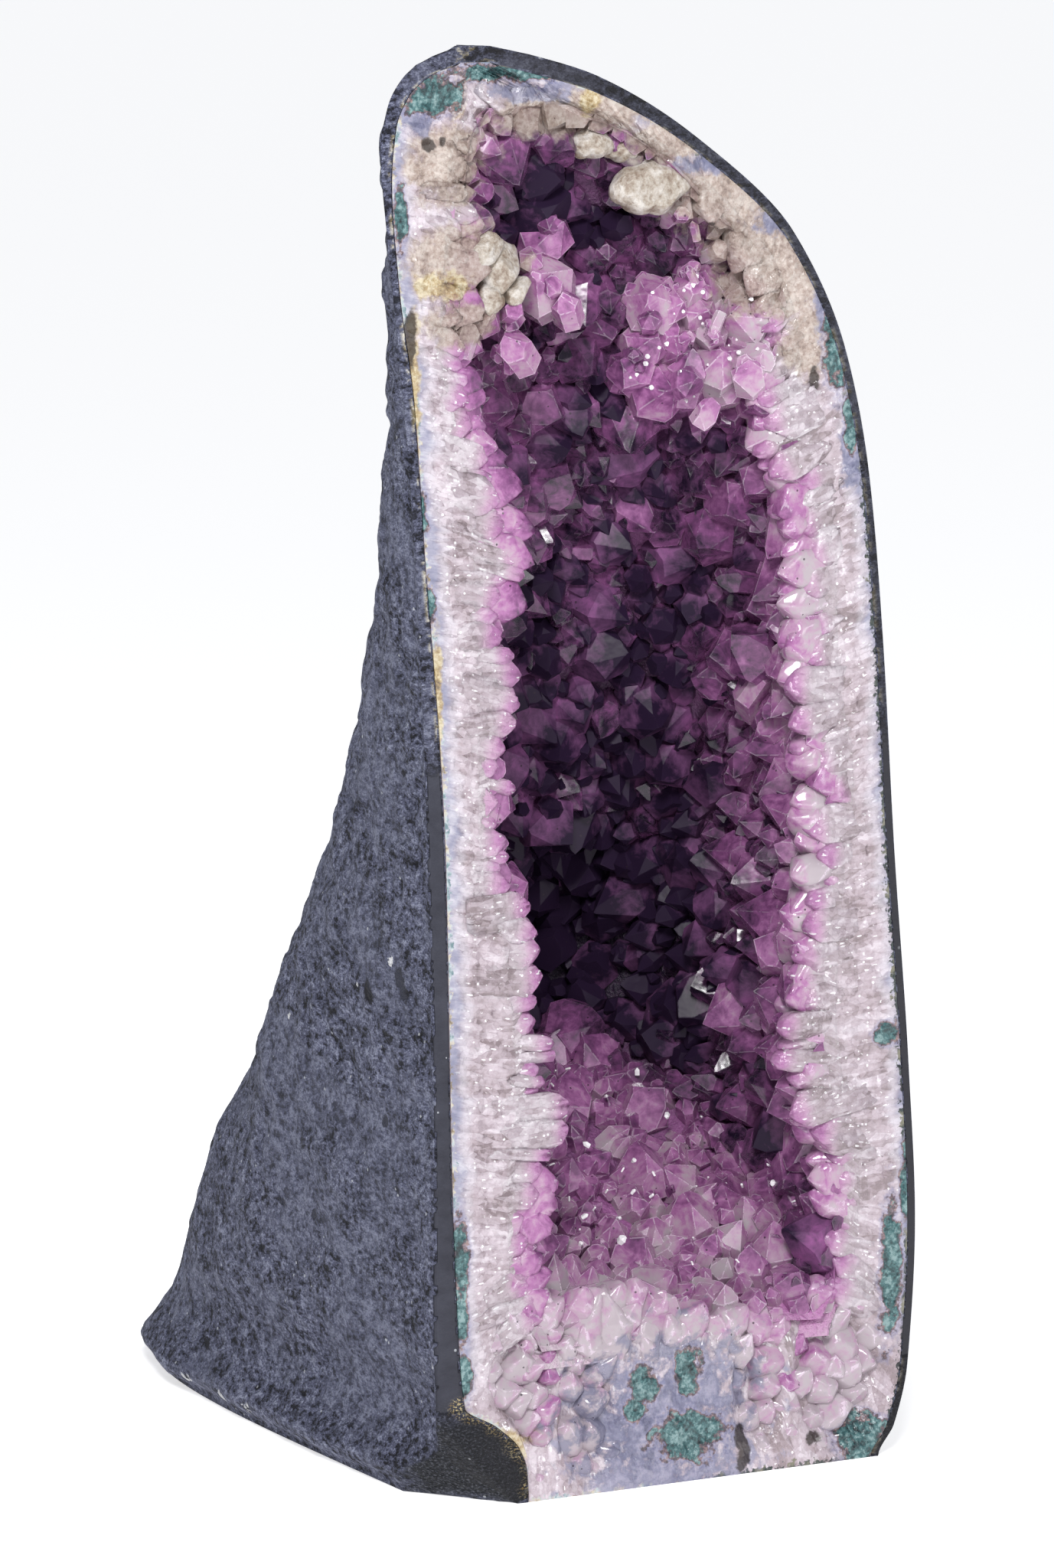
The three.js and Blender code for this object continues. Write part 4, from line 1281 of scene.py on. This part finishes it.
def saw_plane(at, axis, saw, wobble):
    """Plane of the saw through Y at saw. It leans back towards the root, so that the root ends
    behind the stone around it."""
    normal = np.array([-SAW_TILT * axis[0], -1.0, -SAW_TILT * axis[2]])
    normal = normal + generator.normal(0, 1, 3) * [wobble, 0, wobble]
    normal = normal / np.linalg.norm(normal)
    return normal, (at[1] - saw) * -normal[1]


def past_skin(points):
    """Whether any of the points lies outside the geode's skin."""
    z = points[:, 2]
    left, right, depth, power = (along(SKIN[key], z) for key in ("left", "right", "depth", "power"))
    across = np.abs(points[:, 0] - (left + right) / 2) / ((right - left) / 2)
    back = np.maximum(points[:, 1], 0) / depth
    return z.max() > SHAPE_ENDS["skin"][1] - 1 or (across ** power + back ** power).max() > 0.97


class Cluster:
    """Gathers crystals into one joined mesh. Each face has a point at its middle, which carries its
    distance from the face's edges."""

    def __init__(self):
        self.points = []
        self.faces = []
        self.values = {"tone": [], "below": [], "edge": [], "shade": [], "inward": [], "length": []}
        self.count = 0

    def add(self, at, axis, radius, height, root, tone, saw=None, side=None, widen=0.03, wobble=0.0,
            inward=20.0, length=0.0):
        """One crystal standing at a point along an axis. saw is the Y of the cut that takes off
        what is in front of it, and side the direction one of its sides looks in."""
        frame = crystal_frame(axis, side)
        normals, distances = crystal_planes(radius, height, root, widen)
        normals = normals @ frame.T
        if saw is not None:
            cut, distance = saw_plane(at, frame[:, 2], saw, wobble)
            normals, distances = np.vstack([normals, cut]), np.append(distances, distance)
        low = at[2] - height - root
        if low < 0:
            normals, distances = np.vstack([normals, (0, 0, -1)]), np.append(distances, at[2] - 0.1)
        points, faces, edge = self.solid(normals, distances, frame, height, root)
        if points is None or past_skin(points + at):
            return
        self.faces.extend(np.asarray(faces) + self.count)
        self.points.append(points + at)
        self.values["edge"].append(edge)
        local = points @ frame
        shade = generator.uniform(0, 1)
        for key, value in (("tone", tone), ("shade", shade), ("below", height - local[:, 2]),
                           ("inward", inward + local[:, 2]), ("length", length + local[:, 0])):
            self.values[key].append(np.broadcast_to(value, len(points)))
        self.count += len(points)

    def solid(self, normals, distances, frame, height, root):
        corners, faces = polyhedron(normals, distances)
        if len(faces) < 4:
            return None, None, None
        middles, to_edge, triangles = [], [], []
        for face in faces:
            ring = corners[face]
            middle = ring.mean(axis=0)
            along_edge = np.roll(ring, -1, axis=0) - ring
            gap = np.linalg.norm(np.cross(along_edge, middle - ring), axis=1)
            middle_at = len(corners) + len(middles)
            triangles.extend((middle_at, a, b) for a, b in zip(face, np.roll(face, -1)))
            to_edge.append((gap / np.maximum(np.linalg.norm(along_edge, axis=1), 1e-9)).mean())
            middles.append(middle)
        edge = np.concatenate([np.zeros(len(corners)), to_edge])
        return np.concatenate([corners, middles]), triangles, edge

    def finish(self, name, material, smooth=False, weld=None, shaded_material=None):
        """The joined piece. Crystals darker than SHADED_TONE have the shaded material, a duller copy that
        paints shade deep in the hollow, if one is given.
        """
        points = np.concatenate(self.points)
        values = {key: np.concatenate(value) for key, value in self.values.items()}
        # Painted shade: the darkest crystals get the duller copy
        deep = [values["tone"][face[0]] > SHADED_TONE for face in self.faces]
        values.update(patch_values(points))
        piece = make_piece(name, points, self.faces, "amethyst", values, weld, smooth)
        piece.data.materials.append(material)
        if shaded_material:
            piece.data.materials.append(shaded_material)
            piece.data.polygons.foreach_set("material_index", np.array(deep, dtype=np.int32))
        return piece


class WornCluster(Cluster):
    """Crystals with rounded, worn edges and slightly lumpy faces."""

    def __init__(self, rows=19, columns=28, sharpness=18, lumps=0.3):
        super().__init__()
        self.shape = (rows, columns)
        self.sharpness = sharpness
        self.lumps = lumps
        self.rays = ball(rows, columns).reshape(-1, 3)

    def solid(self, normals, distances, frame, height, root):
        middle = frame[:, 2] * (0.3 * height - 0.35 * root)
        for _ in range(3):
            short = np.maximum(1.2 - (distances - normals @ middle), 0)
            middle = middle - (normals * short[:, None]).sum(axis=0)
        room = distances - normals @ middle
        if room.min() < 0.2:
            return None, None, None
        rays = self.rays @ frame.T
        nearness = np.maximum(rays @ normals.T, 0) / room
        reach = (nearness ** self.sharpness).sum(axis=1) ** (-1 / self.sharpness)
        two = np.sort(nearness, axis=1)[:, -2:]
        edge = (1 - two[:, 0] / two[:, 1]) * reach
        points = middle + rays * reach[:, None]
        lumpy = self.lumps * (0.5 + 0.5 * noise(points + distances[0] * 9, 3.2, 71))
        points = points - rays * lumpy[:, None]
        return points, grid_quads(*self.shape), edge


def lining_frame(z, turn):
    """Points of the lining and the directions into the hollow there."""
    step = 0.01
    at = wall_point("lining", z, turn)
    round_about = wall_point("lining", z, turn + step) - wall_point("lining", z, turn - step)
    up = wall_point("lining", z + 1, turn) - wall_point("lining", z - 1, turn)
    normal = np.cross(up, round_about)
    return at, normal / np.linalg.norm(normal, axis=-1, keepdims=True)


def spaced_out(at, spacing):
    """Which points to keep so that they are at least one spacing apart."""
    kept = []
    cells = {}
    for i, point in enumerate(at):
        cell = tuple(np.floor(point / spacing).astype(int))
        near = [j for step in itertools.product((-1, 0, 1), repeat=3)
                for j in cells.get(tuple(np.add(cell, step)), ())]
        if all(np.sum((at[j] - point) ** 2) >= spacing ** 2 for j in near):
            kept.append(i)
            cells.setdefault(cell, []).append(i)
    return kept


def scattered(spacing, tries, low=None, high=None):
    """Points over the lining at least one spacing apart, with their directions into the hollow."""
    lowest, highest = SHAPE_ENDS["lining"]
    z = generator.uniform(low or lowest + 1, high or highest - 1, tries)
    turn = generator.uniform(0.0, math.pi, tries)
    at, normal = lining_frame(z, turn)
    kept = spaced_out(at, spacing)
    return at[kept], normal[kept]


def amethyst_points(material, shaded_material):
    cluster = Cluster()
    for at, normal in zip(*scattered(POINT_SPACING, POINT_TRIES)):
        if at[1] < BEHIND_RIM:
            continue
        radius = generator.uniform(5.0, 10.0)
        axis = normal + generator.normal(0, 0.28, 3)
        height = radius * generator.uniform(1.3, 1.9)
        tone = float(tone_at(at, normal[2])) + generator.uniform(-0.12, 0.16)
        cluster.add(at, axis, radius, height, 4, tone, saw=generator.uniform(1.5, 4))
    piece = cluster.finish("amethyst_points", material, shaded_material=shaded_material)
    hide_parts("amethyst_crust")
    return piece


def infill_points(material, shaded_material):
    cluster = Cluster()
    for at, normal in zip(*scattered(INFILL_SPACING, INFILL_TRIES)):
        radius = generator.uniform(2.2, 5.0)
        axis = normal + generator.normal(0, 0.42, 3)
        height = 3.5 + radius * generator.uniform(1.0, 1.9) * (0.4 if at[1] < BEHIND_RIM else 1)
        tone = float(tone_at(at, normal[2])) + generator.uniform(-0.16, 0.16)
        cluster.add(at, axis, radius, height, 4, tone, saw=2.5)
    return cluster.finish("amethyst_infill", material, shaded_material=shaded_material)


def druse_and_glint_points(material):
    """Tiny white crystals dusted over the floor and here and there on the walls, and bits of white on the top
    clusters that stand for painted glints.
    """
    cluster = Cluster()
    at, normal = scattered(DRUSE_SPACING, DRUSE_TRIES, *DRUSE_HEIGHTS)
    for point, out in zip(at, normal):
        if generator.uniform() > (0.22 if out[2] > 0.3 else 0.06):
            continue
        radius = 0.3 + 1.2 * generator.uniform() ** 3
        point = point + out * generator.uniform(7, 11)
        cluster.add(point, out + generator.normal(0, 0.6, 3), radius, radius * 1.3, 1.5, 0.0, saw=1.0)
    # Painted glints: bits of white on the top clusters
    for x, y, z, radius, _ in TOP_CRYSTALS[:12]:
        for _ in range(4):
            point = np.array([x, y - 0.8 * radius, z]) + generator.normal(0, 0.5, 3) * radius
            size = generator.uniform(0.3, 0.8)
            cluster.add(point, generator.normal(0, 1, 3), size, size, size, 0.0, saw=0.5)
    return cluster.finish("druse_and_glint_points", material)


def rim_columns(material, rim):
    """Columns of the crust along the rim, cut lengthwise by the saw, with milky feet and purple tips."""
    cluster = WornCluster()
    right_end, _, left_end = rim.side_ends
    for start, end in zip(rim.borders[:-1], rim.borders[1:]):
        middle = (start + end) / 2
        at = rim.at(middle, rim.lining)
        inward = rim.at(middle, rim.inward)
        if middle > left_end or inward[2] > 0.7:
            continue
        on_right = middle < right_end
        at[1] = generator.uniform(2.5, 6.5) if on_right else generator.uniform(1.0, 4.2)
        reach = float(np.interp(middle, rim.lengths, rim.reach)) + generator.normal(0, 2.8)
        half = (end - start) / 2 * generator.uniform(1.0, 1.7)
        axis = inward + generator.normal(0, 0.13, 3)
        inward_at = float(np.interp(middle, rim.lengths, rim.width))
        root = min(inward_at - generator.uniform(4.5, 9), 21)
        cluster.add(at, axis, half, max(reach, 3), root, 0.0, saw=generator.uniform(0.2, 0.9),
                    side=np.cross(inward, (0, 1, 0)), widen=0.02, wobble=0.07, inward=inward_at,
                    length=middle)
    return cluster.finish("rim_columns", material, smooth=True, weld=0.01)


def front_crystals(material):
    """Rounded crystals that weren't cut by the saw: at the foot of the face beside the agate, and
    along the ledge above it."""
    cluster = WornCluster(sharpness=26, lumps=0.3)
    for x, z, radius, tone in FOOT_CRYSTALS:
        axis = np.array([generator.normal(0, 0.3), -1, 0.45 + generator.normal(0, 0.3)])
        middle = (x, 2.5 + 0.3 * radius, z)
        height = 1.6 * radius + 3
        add_by_middle(cluster, middle, axis, radius * 1.3, height, tone * 0.7 - 0.04, 0.35)
    cluster.lumps = 0.8
    for x, z, radius, tone in LEDGE_CRYSTALS:
        axis = np.array([generator.normal(0, 0.35), -0.55, 0.8])
        add_by_middle(cluster, (x, 0.8 * radius, z), axis, radius * 1.3, 2.3 * radius, tone - 0.06, 0.35)
    return cluster.finish("front_crystals", material, smooth=True, weld=0.01)


def top_crystals(material):
    """Sharp crystals in the clusters near the top, each with smaller ones round its foot."""
    cluster = Cluster()
    for x, y, z, radius, tone in TOP_CRYSTALS:
        for share in (1.15, 0.6, 0.5, 0.45, 0.3):
            apart = 0 if share > 1 else radius * 0.85
            middle = np.array([x, y, z]) + generator.normal(0, 1, 3) * apart
            axis = np.array([-0.35, -0.8, 0.4]) + generator.normal(0, 0.35, 3)
            height = 2.2 * radius * share
            add_by_middle(cluster, middle, axis, radius * share, height, tone + 0.1 * (1 - share), 0.3)
    return cluster.finish("top_crystals", material)


def add_by_middle(cluster, middle, axis, radius, height, tone, wobble):
    """One crystal given by the middle of what is seen of it."""
    axis = axis / np.linalg.norm(axis)
    cluster.add(np.array(middle) - axis * height * 0.5, axis, radius, height, 4, tone,
                saw=generator.uniform(-0.6, 0.8), wobble=wobble)


def side_crystals(material, rim):
    """Rows of larger crystals just behind the rim, which show past its tips."""
    cluster = WornCluster(rows=19, columns=28, sharpness=30, lumps=0.15)
    right_end, top_end, left_end = rim.side_ends
    on_sides = (40, right_end - 20), (top_end + 36, left_end - 14)
    lengths = np.concatenate([np.arange(start, end, SIDE_SPACING) for start, end in on_sides])
    for length in lengths + generator.uniform(-1.5, 1.5, len(lengths)):
        at = rim.at(length, rim.lining)
        on_left = length > top_end
        if on_left and BARE_LEFT[0] < at[2] < BARE_LEFT[1]:
            continue
        at[1] = generator.uniform(4, 9) if on_left else generator.uniform(6, 13)
        reach = float(np.interp(length, rim.lengths, rim.reach)) if on_left else 5
        axis = rim.at(length, rim.inward) + generator.normal(0, 0.2, 3) + np.array([0, -0.3, 0.05])
        # Paler on the right, partly painted light on the right wall
        tone = generator.uniform(0.2, 0.5) if on_left else generator.uniform(0.0, 0.3)
        cluster.add(at, axis, generator.uniform(4.0, 7.5), reach + generator.uniform(5, 12), 9, tone,
                    saw=generator.uniform(0.8, 2.5))
    return cluster.finish("side_crystals", material, smooth=True, weld=0.01)


def calcite_lumps(material):
    grids = []
    directions = ball(40, 61)
    for number, (x, y, z, half_x, half_y, half_z) in enumerate(CALCITE_LUMPS):
        lobes = 0.10 * np.abs(np.sin(4.5 * directions[..., 0] + number)) * (0.6 - directions[..., 2])
        grid = directions * (0.92 + lobes + 0.10 * noise(directions, 0.5, 51 + number))[..., None]
        grid = grid * [half_x, half_y, half_z] + [x, y, z]
        grid[..., 1] = np.maximum(grid[..., 1], 0.6)
        grids.append(grid)
    piece = make_piece("calcite_lumps", *joined_grids(grids), "agate", weld=0.01)
    piece.data.materials.append(material)
    return piece


def calcite_blocks(material):
    cluster = WornCluster(rows=23, columns=32, sharpness=20, lumps=0.6)
    for x, z, radius in CALCITE_BLOCKS:
        axis = np.array([-0.5, -0.5, -0.7]) + generator.normal(0, 0.3, 3)
        middle = (x, 0.7 * radius, z)
        add_by_middle(cluster, middle, axis, radius * 0.9, 2.2 * radius, 0.0, 0.15)
    piece = cluster.finish("calcite_blocks", material, smooth=True, weld=0.01)
    return piece


def calcite_material():
    material, nodes, shader = new_material("calcite")
    place_at = nodes.place()
    cloud = nodes.noise(place_at, 160, 4, 0.6)
    grain = nodes.noise(place_at, 620, 3, 0.6)
    color = nodes.ramp(nodes.weighed((grain, 0.4), (cloud, 0.6)), CALCITE_STOPS)
    rusty = specks(nodes, place_at, 190.0, 0.2, 0.08)
    nodes.feed(shader.inputs["Base Color"], nodes.mix(nodes.times(rusty, 0.7), color, RUSTY_SPECK))
    set_plain(shader, {"Roughness": 0.35})
    let_light_in(shader, 0.3, (0.005, 0.0045, 0.004))
    nodes.feed(shader.inputs["Normal"], nodes.bump(nodes.math("ADD", cloud, grain), 0.0008))
    return material


speckles = make_speckles()
facets = make_facets()
mineral_patches = make_mineral_patches()
make_camera()
make_studio()
make_floor()
rim = Rim()
cement_coat()
sawn_wall(rim, quartz_material("agate_and_quartz", 0.0))
rim_quartz = quartz_material("rim_quartz", 0.15)
crust_base(rim, rim_quartz)
amethyst = crystal_material("amethyst", 0.38, 40.0, (0.62, 0.32, 0.62), shine=0.35)
# Painted shade: an opaque, duller copy of the amethyst for the darkest crystals
shaded_amethyst = crystal_material("shaded_amethyst", 0.0, 0.0, (1, 1, 1), shine=0.12, veil_and_reflection=0.5)
amethyst_points(amethyst, shaded_amethyst)
infill_points(amethyst, shaded_amethyst)
druse_and_glint_points(druse_and_glint_material())
rim_columns(rim_quartz, rim)
front_crystals(crystal_material("milky_amethyst", 0.25, 10.0, (0.82, 0.68, 0.80), tip=0.06))
pale_amethyst = crystal_material("pale_amethyst", 0.22, 20.0, (0.70, 0.48, 0.68))
side_crystals(pale_amethyst, rim)
top_crystals(pale_amethyst)
calcite = calcite_material()
calcite_lumps(calcite)
calcite_blocks(calcite)
